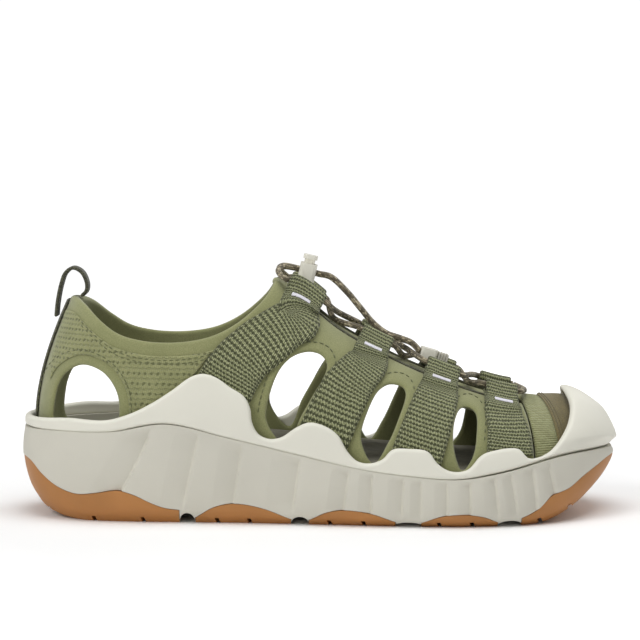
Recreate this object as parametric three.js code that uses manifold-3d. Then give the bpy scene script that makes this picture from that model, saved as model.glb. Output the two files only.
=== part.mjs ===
// Right shoe of a pair of strappy sport sandals, built as an assembly of separate sub-parts.
// Millimetres, +X towards the toes, +Y towards the inner (medial) side, +Z up, standing on z = 0.
// Every part of the upper is laid on one foot form, so it follows when the form is graded.

import * as THREE from 'three';
import { mergeVertices } from 'three/addons/utils/BufferGeometryUtils.js';
import Module from 'manifold-3d';

const wasm = await Module();
wasm.setup();

// ---------------------------------------------------------------- driving dimensions

// The outlines below are drawn for this base size, and graded to the size that is built.
const BASE_SIZE = { length: 277, width: 96, rise: 119 };
const FORM_LENGTH = 277;
const FORM_WIDTH = 96;
const FORM_RISE = 119;

const CLEARANCE = 0.3;

const QUARTER_THICKNESS = 2.4;
const HEEL_PAD = 3.2;
const MESH_THICKNESS = 0.6;
const TONGUE_THICKNESS = 3.6;
const VAMP_THICKNESS = 2;
const TOE_OVERLAY_THICKNESS = 0.8;

const STRAP_THICKNESS = 1.2;
const STRAP_FOOT_WIDTHS = [28, 26, 25, 23];
const STRAP_HEAD_WIDTHS = [20, 17, 17.5, 17.5];
const STRAP_RETURN = 17;
const BAR_TACK = { width: 9, depth: 2.2, thickness: 0.5 };

const RAND_EDGE = 2.1;
const RAND_FOOT = 4;
const TOE_BUMPER = 3.2;
const BOARD_THICKNESS = 1.5;
const FOOTBED_THICKNESS = 5;
const MIDSOLE_BULGE = 2;
const SOLE_UNDERCUT = 4;
const OUTSOLE_SETBACK = 0.4;
const FOAM_OVER_PODS = 3.5;

const LACE_DIAMETER = 3;
const LACE_SIDES = 8;

const LOCK = { length: 8.6, width: 13.4, height: 10.5, corner: 2.6, floor: 0.8, tilt: 13 };
const LOCK_BORE_ABOVE_BASE = 6.5;
const LOCK_STRAND_PITCH = 3.7;
const PLUNGER = { length: 5.4, width: 9.6, travel: 2, floor: 0.9, cap: 2, capLip: 0.9 };
const SPRING_WIRE = 0.5;

const CLIP = { length: 14.4, width: 9, height: 5.6, grip: 5.6, tilt: 16, ribs: 4 };
const LOOP = { width: 9.5, thickness: 1.8 };
const TAPE = { width: 14, thickness: 1.1, top: 106, ribSpan: 220 };

// ---------------------------------------------------------------- grading and small helpers

const gradeX = FORM_LENGTH / BASE_SIZE.length;
const gradeY = FORM_WIDTH / BASE_SIZE.width;
const gradeZ = FORM_RISE / BASE_SIZE.rise;

const vec = (x, y, z) => new THREE.Vector3(x, y, z);
const graded = (x, y, z) => vec(x * gradeX, y * gradeY, z * gradeZ);
const gradedSide = (points) => points.map(([x, z]) => new THREE.Vector2(x * gradeX, z * gradeZ));
const radians = THREE.MathUtils.degToRad;
const { lerp, smoothstep, clamp } = THREE.MathUtils;

const LATERAL = -1;
const MEDIAL = 1;
const SIDES = [LATERAL, MEDIAL];
const sideName = (side) => (side === LATERAL ? 'lateral' : 'medial');

// Smooth height along the shoe: a cubic through a few stations given as [x, z].
function profile(points) {
  const stations = gradedSide(points);
  const slope = (i) => {
    const before = stations[Math.max(i - 1, 0)];
    const after = stations[Math.min(i + 1, stations.length - 1)];
    return (after.y - before.y) / (after.x - before.x);
  };
  return (x) => {
    const last = stations.length - 2;
    const found = stations.findIndex((station) => station.x > x) - 1;
    const i = x >= stations[last + 1].x ? last : Math.max(found, 0);
    const span = stations[i + 1].x - stations[i].x;
    const t = clamp((x - stations[i].x) / span, 0, 1);
    const rise = (2 * t ** 3 - 3 * t ** 2 + 1) * stations[i].y + (3 * t ** 2 - 2 * t ** 3) * stations[i + 1].y;
    const lean = (t ** 3 - 2 * t ** 2 + t) * slope(i) + (t ** 3 - t ** 2) * slope(i + 1);
    return rise + lean * span;
  };
}

// ---------------------------------------------------------------- solids

function signedVolume(positions, index) {
  const [a, b, c] = [vec(), vec(), vec()];
  let volume = 0;
  for (let i = 0; i < index.length; i += 3) {
    a.fromArray(positions, 3 * index[i]);
    b.fromArray(positions, 3 * index[i + 1]);
    c.fromArray(positions, 3 * index[i + 2]);
    volume += a.dot(b.cross(c)) / 6;
  }
  return volume;
}

// A closed geometry from points and triangles, turned so that its faces point out.
function closedGeometry(points, triangles) {
  const positions = points.flatMap((point) => point.toArray());
  const index = triangles.flat();
  if (signedVolume(positions, index) < 0) {
    for (let i = 0; i < index.length; i += 3) {
      [index[i], index[i + 1]] = [index[i + 1], index[i]];
    }
  }
  const geometry = new THREE.BufferGeometry();
  geometry.setAttribute('position', new THREE.Float32BufferAttribute(positions, 3));
  geometry.setIndex(index);
  return geometry;
}

// A thick sheet: point(i, j, 0) is its inner face and point(i, j, 1) its outer face.
function sheet(rows, columns, point) {
  const points = [];
  const at = (i, j, layer) => (layer * (rows + 1) + i) * (columns + 1) + j;
  for (const layer of [0, 1]) {
    for (let i = 0; i <= rows; i++) {
      for (let j = 0; j <= columns; j++) points.push(point(i / rows, j / columns, layer));
    }
  }
  const triangles = [];
  const quad = (a, b, c, d) => triangles.push([a, b, c], [a, c, d]);
  for (let i = 0; i < rows; i++) {
    for (let j = 0; j < columns; j++) {
      quad(at(i, j, 1), at(i + 1, j, 1), at(i + 1, j + 1, 1), at(i, j + 1, 1));
      quad(at(i, j, 0), at(i, j + 1, 0), at(i + 1, j + 1, 0), at(i + 1, j, 0));
    }
  }
  for (let i = 0; i < rows; i++) {
    quad(at(i, 0, 0), at(i + 1, 0, 0), at(i + 1, 0, 1), at(i, 0, 1));
    quad(at(i, columns, 1), at(i + 1, columns, 1), at(i + 1, columns, 0), at(i, columns, 0));
  }
  for (let j = 0; j < columns; j++) {
    quad(at(0, j, 1), at(0, j + 1, 1), at(0, j + 1, 0), at(0, j, 0));
    quad(at(rows, j, 0), at(rows, j + 1, 0), at(rows, j + 1, 1), at(rows, j, 1));
  }
  return closedGeometry(points, triangles);
}

// Rings of a foot outline, one above the other. Each ring runs heel, lateral side, toe and
// medial side, so its two ends are closed by strips across the foot that follow its curve.
function stack(rings) {
  const size = rings[0].length;
  const half = size / 2;
  const triangles = [];
  const quad = (a, b, c, d) => triangles.push([a, b, c], [a, c, d]);
  for (let k = 0; k + 1 < rings.length; k++) {
    for (let i = 0; i < size; i++) {
      const next = (i + 1) % size;
      quad(k * size + i, k * size + next, (k + 1) * size + next, (k + 1) * size + i);
    }
  }
  const cap = (base, flip) => {
    for (let i = 0; i < half; i++) {
      const [a, b, c, d] = [i, i + 1, size - i - 1, (size - i) % size].map((k) => base + k);
      const faces = [[a, b, c], [a, c, d]].filter((face) => new Set(face).size === 3);
      triangles.push(...faces.map((face) => (flip ? face.reverse() : face)));
    }
  };
  cap(0, true);
  cap((rings.length - 1) * size, false);
  return closedGeometry(rings.flat(), triangles);
}

// A solid that runs across the shoe with one side-view outline of [x, z] points.
function across(outline, fromY, toY) {
  const geometry = new THREE.ExtrudeGeometry(new THREE.Shape(outline), { depth: toY - fromY, bevelEnabled: false });
  geometry.rotateX(Math.PI / 2);
  return geometry.translate(0, toY, 0);
}

// A closed smooth outline through side-view points.
function roundOutline(points, divisions = 28) {
  const corners = gradedSide(points).map((point) => vec(point.x, point.y, 0));
  const curve = new THREE.CatmullRomCurve3(corners, true, 'centripetal');
  return curve.getSpacedPoints(divisions).slice(0, -1).map((point) => new THREE.Vector2(point.x, point.y));
}

function roundBox(width, height, corner) {
  const shape = new THREE.Shape();
  const [x, y] = [width / 2, height / 2];
  shape.moveTo(x - corner, -y);
  shape.absarc(x - corner, -y + corner, corner, -Math.PI / 2, 0);
  shape.absarc(x - corner, y - corner, corner, 0, Math.PI / 2);
  shape.absarc(-x + corner, y - corner, corner, Math.PI / 2, Math.PI);
  shape.absarc(-x + corner, -y + corner, corner, Math.PI, 1.5 * Math.PI);
  return shape;
}

// A cord of round section along a smooth curve through points.
function cord(points, diameter, steps) {
  const curve = new THREE.CatmullRomCurve3(points, false, 'centripetal');
  const section = new THREE.Shape();
  section.absarc(0, 0, diameter / 2, 0, 2 * Math.PI);
  const options = { steps, extrudePath: curve, bevelEnabled: false, curveSegments: LACE_SIDES / 2 };
  return new THREE.ExtrudeGeometry(section, options);
}

// ---------------------------------------------------------------- booleans

function toSolid(geometry) {
  const bare = geometry.clone();
  bare.deleteAttribute('normal');
  bare.deleteAttribute('uv');
  const merged = mergeVertices(bare, 1e-4);
  const vertProperties = merged.attributes.position.array;
  const triVerts = Uint32Array.from(merged.index.array);
  return new wasm.Manifold(new wasm.Mesh({ numProp: 3, vertProperties, triVerts }));
}

function toGeometry(solid) {
  const mesh = solid.getMesh();
  const geometry = new THREE.BufferGeometry();
  geometry.setAttribute('position', new THREE.BufferAttribute(mesh.vertProperties, 3));
  geometry.setIndex(new THREE.BufferAttribute(mesh.triVerts, 1));
  return geometry;
}

const join = (first, ...others) => toGeometry(others.reduce((sum, next) => sum.add(toSolid(next)), toSolid(first)));
const cut = (body, ...tools) => toGeometry(tools.reduce((rest, next) => rest.subtract(toSolid(next)), toSolid(body)));
const common = (first, second) => toGeometry(toSolid(first).intersect(toSolid(second)));

// ---------------------------------------------------------------- the foot form

// Ribs run from the edge of the lasting board up to the ankle opening, and further forward to
// the middle of the instep. Each row: board x, lateral y, medial y, then the crown's x, y, z.
const RIBS = [
  [-139.5, 0, 0, -118, 0, 119],
  [-134, -17, 17, -113, 13, 119],
  [-116, -29, 29, -99, 23, 119],
  [-90, -34, 33, -77, 27, 119],
  [-60, -36, 32, -51, 25, 119],
  [-33, -38, 31, -32, 16, 120],
  [-8, -41, 33, -21, 0, 118],
  [16, -44, 38, 3, 0, 98],
  [42, -47, 43, 33, 0, 81],
  [70, -48, 46, 64, 0, 67.5],
  [95, -44, 46, 90, 1, 59],
  [116, -33, 41, 110, 3, 56],
  [131, -15, 28, 124, 6, 55],
  [139, 8, 8, 132, 8, 50],
];
const ANKLE_RIBS = 5 / (RIBS.length - 1);
const INSTEP_RIBS = 7 / (RIBS.length - 1);

const bedHeight = profile([[-140, 43], [-100, 41], [-60, 39.5], [-20, 37], [10, 33], [30, 30.6],
  [60, 27.5], [90, 26.5], [115, 28], [140, 31]]);
const boardTop = (x) => bedHeight(x) - FOOTBED_THICKNESS - CLEARANCE;
const boardBase = (x) => boardTop(x) - BOARD_THICKNESS;

// One closed curve round the ribs: the lateral side from heel to toe, then the medial side back.
function ringCurve(pointOf) {
  const forward = RIBS.map((rib) => pointOf(rib, LATERAL));
  const back = RIBS.slice(1, -1).reverse().map((rib) => pointOf(rib, MEDIAL));
  return new THREE.CatmullRomCurve3([...forward, ...back], true);
}
const boardEdge = ringCurve((rib, side) => graded(rib[0], side === LATERAL ? rib[1] : rib[2], 0));
const crown = ringCurve((rib, side) => graded(rib[3], RIBS.indexOf(rib) < 7 ? side * rib[4] : rib[4], rib[5]));
const ringPlace = (side, u) => (side === LATERAL ? u / 2 : (1 - u / 2) % 1);

// Point on the form: u along the ribs from heel (0) to toe (1), v up the rib from 0 to 1.
function formPoint(side, u, v) {
  if (u < 0) return formPoint(-side, -u, v);
  if (u > 1) return formPoint(-side, 2 - u, v);
  if (v > 1) return formPoint(-side, u, 2 - v);
  const place = ringPlace(side, u);
  const foot = boardEdge.getPoint(place);
  const top = crown.getPoint(place);
  foot.z = boardBase(foot.x);
  const along = boardEdge.getTangent(place);
  const outward = vec(along.y, -along.x, 0);
  const instep = smoothstep(u, ANKLE_RIBS - 0.08, INSTEP_RIBS - 0.08);
  const rise = top.z - foot.z;
  const inward = foot.clone().sub(top).setZ(0);
  const low = foot.clone().addScaledVector(outward, lerp(5, 3, instep) * gradeY);
  low.z += rise * lerp(0.33, 0.55, instep);
  const high = top.clone().addScaledVector(inward, lerp(0.5, 0.58, instep));
  high.z -= rise * lerp(0.27, 0.02, instep);
  return new THREE.CubicBezierCurve3(foot, low, high, top).getPoint(v);
}

// Outward normal. Along the crown, where the two sides meet, it is the mean of both.
const CROWN_MEET = 0.97;
function formNormal(side, u, v) {
  if (v > CROWN_MEET) {
    const mean = formNormal(side, u, CROWN_MEET).add(formNormal(-side, u, CROWN_MEET));
    return mean.lerp(formNormal(side, u, CROWN_MEET), (1 - v) / (1 - CROWN_MEET)).normalize();
  }
  const step = 2e-3;
  const along = formPoint(side, u + step, v).sub(formPoint(side, u - step, v));
  const up = formPoint(side, u, v + step).sub(formPoint(side, u, Math.max(v - step, 0)));
  return along.cross(up).multiplyScalar(-side).normalize();
}

// Point that stands off the form by a distance.
function onForm(side, u, v, lift) {
  if (u < 0) return onForm(-side, -u, v, lift);
  if (u > 1) return onForm(-side, 2 - u, v, lift);
  if (v > 1) return onForm(-side, u, 2 - v, lift);
  return formPoint(side, u, v).addScaledVector(formNormal(side, u, v), lift);
}

// Rib coordinate v at which the form reaches a height given along the shoe.
function ribAtHeight(side, u, height) {
  let [low, high] = [0, 1];
  for (let i = 0; i < 18; i++) {
    const middle = (low + high) / 2;
    const point = formPoint(side, u, middle);
    if (point.z < height(point.x)) low = middle;
    else high = middle;
  }
  return (low + high) / 2;
}

// Form coordinates of the point seen from the side at x, z.
function locate(side, x, z) {
  let [u, v] = [0.5, 0.4];
  const target = graded(x, 0, z);
  for (let i = 0; i < 40; i++) {
    const here = formPoint(side, u, v);
    const [dx, dz] = [target.x - here.x, target.z - here.z];
    const byU = formPoint(side, u + 1e-3, v).sub(here).multiplyScalar(1e3);
    const byV = formPoint(side, u, v + 1e-3).sub(here).multiplyScalar(1e3);
    const determinant = byU.x * byV.z - byV.x * byU.z;
    u = clamp(u + (0.7 * (dx * byV.z - byV.x * dz)) / determinant, 0.01, 0.99);
    v = clamp(v + (0.7 * (byU.x * dz - dx * byU.z)) / determinant, 0.01, 0.9);
  }
  return [u, v];
}

// Tangent-plane step on the form: the u, v reached by moving a distance along a direction.
function moveOnForm(side, u, v, direction, distance) {
  const here = formPoint(side, u, v);
  const byU = formPoint(side, u + 1e-3, v).sub(here).multiplyScalar(1e3);
  const byV = formPoint(side, u, v + 1e-3).sub(here).multiplyScalar(1e3);
  const [uu, uv, vv] = [byU.dot(byU), byU.dot(byV), byV.dot(byV)];
  const [du, dv] = [byU.dot(direction) * distance, byV.dot(direction) * distance];
  const determinant = uu * vv - uv * uv;
  return [u + (du * vv - dv * uv) / determinant, v + (dv * uu - du * uv) / determinant];
}

// ---------------------------------------------------------------- outlines seen from the side

const THROAT_EDGE = 0.755;
const BINDING_REACH = 0.03;
const STRAP_NECK = 15;
const STRAP_STRAIGHT = 7;
const QUARTER_FRONT = 0.8;
const TOE_OVERLAY_BACK = 0.846;

const TOPLINE = [[-150, 109], [-122, 108.5], [-117, 106], [-108, 98], [-99, 92], [-88, 89], [-75, 88],
  [-62, 89], [-52, 91.5], [-42, 96.5], [-33, 103.5], [-26, 111], [-21, 120]];
const HEEL_HOLE = [[-131, 44], [-131.5, 60], [-127, 71], [-117.5, 76.5], [-107, 73.5], [-100.5, 65.5],
  [-98.5, 57], [-101, 45], [-116, 40]];
const SIDE_WINDOWS = {
  rear: [[-26, 50], [-24, 65], [-19, 76], [-13, 81.5], [-5, 83.5], [1, 81.5], [3.5, 76.5],
    [-4.5, 61], [-9.5, 52], [-16, 38]],
  middle: [[20, 42], [24, 57], [29, 65], [34.5, 67.5], [40.5, 66], [42, 63], [38, 51], [33, 40],
    [26, 30]],
  front: [[65, 38], [65.7, 50], [69, 55.5], [73.5, 55.7], [76.5, 53], [76.5, 45], [74, 33], [69, 27]],
};
const MESH_PANEL = [[-134, 52], [-133.5, 62], [-133, 79], [-124, 95], [-116, 98], [-106, 88], [-96, 83], [-84, 80.5],
  [-72, 80], [-60, 81.5], [-55, 83], [-58, 77], [-64, 68], [-67, 60], [-71, 54], [-90, 51.5]];
const MESH_HOLE_MARGIN = 1.22;

// The upper edge of the rand, from heel to toe cap.
const RAND_TOP = [[-156, 49.5], [-138, 50], [-123, 51], [-105, 50.5], [-93, 53.8], [-82, 59.2],
  [-72.5, 65.2], [-62.8, 72], [-57, 73.4], [-51, 71.8], [-43.8, 67], [-37, 62.6], [-34, 57], [-33, 50],
  [-30, 44.5], [-25, 42.2], [-19, 43], [-11, 48.2], [-4.9, 50.4], [3, 48.4], [9, 44], [13, 37], [18, 32],
  [24, 31], [30, 33], [35, 37.8], [44, 38.2], [52, 37], [57, 31], [63, 27.6], [71, 28.2], [78, 35],
  [84, 37], [96, 37.5], [101, 33], [106, 33], [113, 36], [119, 42], [123.5, 49], [125, 56], [122, 63],
  [117, 70]];
const seamHeight = profile([[-152, 43.5], [-138, 44.3], [-102, 45], [-75, 49], [-45, 42.5], [-10, 34.4],
  [20, 28], [48, 24.5], [68, 23.6], [88, 26.5], [116, 32.5], [135, 33.5], [152, 32]]);
const groundCurve = profile([[-152, 22], [-148, 14.5], [-143, 9], [-136, 4.6], [-127, 1.6], [-116, 0],
  [-104, 0], [92, 0], [102, 0], [111, 1.2], [121, 4.8], [132, 10.5], [142, 17.5], [149, 24], [153, 28]]);
const groundHeight = (x) => Math.max(groundCurve(x), 0);

// Outsole pods: the curve over the top of each pod, from its rear end to its front end.
const PODS = {
  outsole_heel_pod: [[-158, 30], [-145, 28.5], [-138, 22.5], [-130, 17], [-120, 13.8], [-110, 14.6],
    [-99, 16], [-91, 14], [-83, 10.2], [-76, 7.6], [-69, 6.6]],
  outsole_arch_pod: [[-61, 2.6], [-52, 8.2], [-41.6, 10.2], [-28, 8], [-14.2, 2.6]],
  outsole_ball_pod: [[-5.4, 2.4], [3, 6.6], [12, 8], [25, 6.4], [36.5, 2.4]],
  outsole_forefoot_pod: [[49.2, 2.2], [58, 5.4], [69, 6.5], [79, 5.2], [86.2, 2.2]],
  outsole_toe_pod: [[98, 4], [106, 7.8], [113, 14], [122, 17], [129, 21.5], [137, 25.5], [145, 28.4],
    [160, 29.5]],
};
const GROOVES = [[-68.7, -61.3, 8.5], [-13.9, -5.7, 7], [36.8, 48.9, 4], [86.5, 97.7, 5]];

// A smooth open line through side-view points, closed round the far side through corners.
function regionBeyond(points, corners, divisions) {
  const along = gradedSide(points).map((point) => vec(point.x, point.y, 0));
  const line = new THREE.CatmullRomCurve3(along, false, 'centripetal').getSpacedPoints(divisions);
  return [...line.map((point) => new THREE.Vector2(point.x, point.y)), ...gradedSide(corners)];
}

const FAR = 90;
const throughSide = (outline, side) => across(outline, side === LATERAL ? -FAR : 3, side === LATERAL ? -3 : FAR);

// ---------------------------------------------------------------- upper

const throatEdge = (u) => lerp(1, THROAT_EDGE, smoothstep(u, ANKLE_RIBS - 0.02, INSTEP_RIBS - 0.04));
const heelPad = (u, v) => HEEL_PAD * (1 - smoothstep(u, 0.02, 0.16)) * smoothstep(v, 0.55, 0.8);

// One half of the padded base layer, from the heel seam to the vamp, with its windows.
function quarter(side) {
  const firstRib = CLEARANCE / 2 / FORM_LENGTH;
  const body = sheet(26, 8, (i, j, layer) => {
    const u = lerp(firstRib, QUARTER_FRONT, i);
    const v = j * throatEdge(u);
    const point = onForm(side, u, v, layer === 0 ? -heelPad(u, v) : QUARTER_THICKNESS);
    return j === 0 ? point.setZ(boardBase(point.x)) : point;
  });
  const holes = [HEEL_HOLE, ...Object.values(SIDE_WINDOWS)].map((points) => roundOutline(points));
  const above = regionBeyond(TOPLINE, [[-21, 160], [-150, 160]], 30);
  return cut(body, ...holes.map((outline) => throughSide(outline, side)), across(above, -FAR, FAR));
}

// The knitted mesh laid over the rear of the quarter, short of its smooth edges.
function heelMesh(side) {
  const low = QUARTER_THICKNESS + CLEARANCE;
  const body = sheet(14, 7, (i, j, layer) => {
    const u = lerp(0.042, 0.4, i);
    return onForm(side, u, lerp(0.1, 0.95, j), low + layer * MESH_THICKNESS);
  });
  const panel = common(body, throughSide(roundOutline(MESH_PANEL, 36), side));
  const outline = roundOutline(HEEL_HOLE);
  const middle = outline.reduce((sum, point) => sum.add(point), new THREE.Vector2()).divideScalar(outline.length);
  const wider = outline.map((point) => point.clone().sub(middle).multiplyScalar(MESH_HOLE_MARGIN).add(middle));
  return cut(panel, throughSide(wider, side));
}

// A sheet over the instep between two ribs, from one side to the other. It lies between two
// lifts off the form, and edge(side, u) is the rib coordinate of its two side edges.
function saddle([fromU, toU], [low, high], [rows, columns], edge) {
  return sheet(rows, columns, (i, j, layer) => {
    const side = j < 0.5 ? LATERAL : MEDIAL;
    const u = lerp(fromU, toU, i);
    const v = lerp(1, edge(side, u), Math.abs(2 * j - 1));
    return onForm(side, u, v, layer === 0 ? low : high);
  });
}

function binding(side) {
  return sheet(24, 1, (i, j, layer) => {
    const u = lerp(INSTEP_RIBS - 0.05, QUARTER_FRONT - 0.005, i);
    const v = throatEdge(u) + lerp(0.004, BINDING_REACH, j);
    return onForm(side, u, v, 0.1 + layer * (QUARTER_THICKNESS - 0.2));
  });
}

function heelTape() {
  const halfWidth = TAPE.width / 2 / TAPE.ribSpan;
  const low = QUARTER_THICKNESS + CLEARANCE;
  return sheet(10, 4, (i, j, layer) => {
    const u = lerp(-halfWidth, halfWidth, j);
    const foot = ribAtHeight(MEDIAL, 0, (x) => seamHeight(x) + 1);
    const top = ribAtHeight(MEDIAL, 0, () => TAPE.top * gradeZ);
    return onForm(MEDIAL, u, lerp(foot, top, i), low + layer * TAPE.thickness);
  });
}

// ---------------------------------------------------------------- webbing straps

// Each strap's middle line, seen from the side: its foot under the rand and a point half way
// up, then the x of its head beside the throat and how far up the ribs it reaches. The last
// stretch runs square to the throat, so the fold lies along it.
const STRAPS = [
  { foot: [-49, 62], middle: [-36, 82], head: -11, reach: 0.77 },
  { foot: [1, 40], middle: [12, 64], head: 25, reach: 0.78 },
  { foot: [46, 31], middle: [52, 48], head: 59, reach: 0.78 },
  { foot: [92, 33], middle: [91.8, 42], head: 89, reach: 0.78 },
];
const STRAP_LOW = QUARTER_THICKNESS + 2.5 * CLEARANCE + STRAP_THICKNESS / 2;
const STRAP_HIGH = STRAP_LOW + STRAP_THICKNESS + CLEARANCE;
const EYE_RADIUS = LACE_DIAMETER / 2 + 2 * CLEARANCE + STRAP_THICKNESS / 2;
const EYE_LIFT = STRAP_LOW + EYE_RADIUS;

// The u on a side at which the form, at rib height v, reaches x.
function ribAtX(side, v, x) {
  let [low, high] = [ANKLE_RIBS, 1];
  for (let i = 0; i < 20; i++) {
    const middle = (low + high) / 2;
    if (formPoint(side, middle, v).x < x * gradeX) low = middle;
    else high = middle;
  }
  return (low + high) / 2;
}

function strapLine(side, { foot, middle, head, reach }) {
  const rib = ribAtX(side, reach, head);
  const alongThroat = formPoint(side, rib + 1e-3, reach).sub(formPoint(side, rib - 1e-3, reach)).normalize();
  const down = alongThroat.cross(formNormal(side, rib, reach)).multiplyScalar(-side);
  const neck = [STRAP_NECK, STRAP_NECK / 2].map((drop) => moveOnForm(side, rib, reach, down, drop));
  const points = [locate(side, ...foot), locate(side, ...middle), ...neck, [rib, reach]];
  const line = new THREE.CatmullRomCurve3(points.map(([u, v]) => vec(u, v, 0)));
  const samples = line.getSpacedPoints(24).map(({ x, y }) => formPoint(side, x, y));
  const length = samples.slice(1).reduce((sum, point, i) => sum + point.distanceTo(samples[i]), 0);
  const place = (distance) => line.getPoint(clamp(distance / length, 0, 1));
  // Point at a distance up the strap, an offset towards the toes, and a lift off the form.
  // Near its head the strap leaves the form and goes straight on.
  const at = (distance, offset, lift) => {
    const reached = clamp(distance, 0.5, length - STRAP_STRAIGHT);
    const [below, above] = [place(reached - 0.5), place(reached)];
    const end = formPoint(side, above.x, above.y);
    const up = end.clone().sub(formPoint(side, below.x, below.y)).normalize();
    const toes = up.clone().cross(formNormal(side, above.x, above.y)).multiplyScalar(-side);
    const [u, v] = moveOnForm(side, above.x, above.y, toes, offset);
    const straightOn = up.projectOnPlane(formNormal(side, u, v)).normalize();
    return onForm(side, u, v, lift).addScaledVector(straightOn, distance - reached);
  };
  return { at, length };
}

// The side section of a strap: along the form, up round the lace, and back under itself.
function strapSection(length) {
  const foldEnd = length - STRAP_RETURN;
  const section = [0, 0.2, 0.4, 0.6, 0.8, 1].map((t) => [t * (foldEnd - 4), STRAP_LOW]);
  section.push([foldEnd - 0.5, STRAP_HIGH], [length - 10, STRAP_HIGH]);
  section.push([length - 5, lerp(STRAP_HIGH, EYE_LIFT + EYE_RADIUS, 0.45)]);
  for (let angle = 100; angle >= -90; angle -= 27.1) {
    const turn = radians(angle);
    section.push([length + EYE_RADIUS * Math.cos(turn), EYE_LIFT + EYE_RADIUS * Math.sin(turn)]);
  }
  section.push([length - 8, STRAP_LOW], [foldEnd + 1.2, STRAP_LOW]);
  return section;
}

function strap(side, index) {
  const { at, length } = strapLine(side, STRAPS[index]);
  const section = strapSection(length);
  const last = section.length - 1;
  return sheet(last, 3, (i, j, layer) => {
    const k = Math.round(i * last);
    const before = section[Math.max(k - 1, 0)];
    const after = section[Math.min(k + 1, last)];
    const [du, dv] = [after[0] - before[0], after[1] - before[1]];
    const half = ((layer - 0.5) * STRAP_THICKNESS) / Math.hypot(du, dv);
    const [distance, lift] = section[k];
    const width = lerp(STRAP_FOOT_WIDTHS[index], STRAP_HEAD_WIDTHS[index], smoothstep(distance / length, 0, 0.9));
    return at(distance - dv * half, (j - 0.5) * width, lift + du * half);
  });
}

function barTack(side, index) {
  const { at, length } = strapLine(side, STRAPS[index]);
  const middle = length - STRAP_RETURN + 5;
  const low = STRAP_HIGH + STRAP_THICKNESS / 2 + CLEARANCE;
  return sheet(1, 2, (i, j, layer) => {
    const offset = (j - 0.5) * BAR_TACK.width;
    return at(middle + (i - 0.5) * BAR_TACK.depth, offset, low + layer * BAR_TACK.thickness);
  });
}

// ---------------------------------------------------------------- laces

const EYE_LEAD = 1.8;
const LACE_LOW = LACE_DIAMETER / 2 + CLEARANCE;
const LACE_HIGH = LACE_LOW + LACE_DIAMETER + 2 * CLEARANCE;
const strapPlaces = Object.fromEntries(SIDES.map((side) => [side, STRAPS.map((each) => strapLine(side, each))]));

// Points where a lace runs through a strap's fold, from the toe end of the eye to the heel end.
function throughEye(side, index) {
  const { at, length } = strapPlaces[side][index];
  const half = STRAP_HEAD_WIDTHS[index] / 2;
  const offsets = [half + EYE_LEAD, half, half / 3, -half / 3, -half, -half - EYE_LEAD];
  return offsets.map((offset) => at(length, offset, EYE_LIFT));
}

// The middle of the throat between two strap heads.
function crossing(front, rear, lift) {
  const u = (ribAtX(LATERAL, 1, STRAPS[front].head) + ribAtX(LATERAL, 1, STRAPS[rear].head)) / 2;
  return onForm(LATERAL, u, 1, lift);
}

// One strand: from the front it passes the eyes on alternate sides, back to the first strap.
function laceStrand(firstSide, lift, lead) {
  const points = [...lead];
  for (let index = STRAPS.length - 1; index >= 0; index--) {
    const side = index % 2 === 1 ? firstSide : -firstSide;
    points.push(...throughEye(side, index));
    if (index > 0) points.push(crossing(index, index - 1, lift));
  }
  return cord(points, LACE_DIAMETER, 66);
}

function frontBridge() {
  const [from, to] = [MEDIAL, LATERAL].map((side) => throughEye(side, STRAPS.length - 1)[0]);
  const middle = onForm(LATERAL, ribAtX(LATERAL, 1, 103), 1, QUARTER_THICKNESS + CLEARANCE + LACE_DIAMETER / 2);
  const start = from.clone().lerp(middle, (LACE_DIAMETER + CLEARANCE) / from.distanceTo(middle));
  return [start, middle.clone().lerp(middle.clone().setY(to.y), 0.1)];
}

// The free tail of the lateral strand, through the lock to the end clip; the other mirrors it.
const TAIL_ROUTE = [[-19.2, -16.6, 119.6], [-20.8, -11.5, 122.2], [-17.8, -5, 123.8], [-12, -1.85, 122.8],
  [-6.3, -1.85, 121.3], [-0.5, -1.85, 119.85], [5.3, -1.85, 118.4], [13.6, -2, 110.8], [20.6, -2.2, 102.4],
  [27, -2.6, 94.8], [33.5, -3, 89.8], [40.5, -3, 87.4], [46.2, -3.1, 85.2], [50.5, -3.1, 81]];
const LOCK_AT = vec(-6.3, 0, 121.3);
const CLIP_AT = vec(50.5, -4.95, 81);

function tail(side) {
  const points = TAIL_ROUTE.map(([x, y, z], i) => {
    const throughClip = i >= TAIL_ROUTE.length - 5;
    const offset = throughClip ? CLIP_AT.y + (side * LOCK_STRAND_PITCH) / 2 : -y * side;
    return vec(x, throughClip ? lerp(-y * side, offset, (i - TAIL_ROUTE.length + 5) / 4) : offset, z);
  });
  return cord(points, LACE_DIAMETER, 34);
}

// ---------------------------------------------------------------- cord lock and end clip

// The lock's own frame: x along the bore, z up the plunger, origin at the middle of the bore.
function lockBody() {
  const base = new THREE.ExtrudeGeometry(roundBox(LOCK.length, LOCK.width, LOCK.corner),
    { depth: LOCK.height, bevelEnabled: false, curveSegments: 5 });
  base.translate(0, 0, -LOCK_BORE_ABOVE_BASE);
  const well = new THREE.ExtrudeGeometry(roundBox(PLUNGER.length + 2 * CLEARANCE,
    PLUNGER.width + 2 * CLEARANCE, 2), { depth: LOCK.height, bevelEnabled: false, curveSegments: 4 });
  well.translate(0, 0, LOCK.floor - LOCK_BORE_ABOVE_BASE);
  const boreWidth = LOCK_STRAND_PITCH + LACE_DIAMETER + 2 * CLEARANCE;
  const bore = new THREE.BoxGeometry(2 * LOCK.length, boreWidth, LACE_DIAMETER + 4 * CLEARANCE);
  return cut(base, well, bore);
}

const SLOT_BASE = -LACE_DIAMETER / 2 - 1.5 * CLEARANCE;
const SLOT_TOP = LACE_DIAMETER / 2 + 1.5 * CLEARANCE + PLUNGER.travel;

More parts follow.
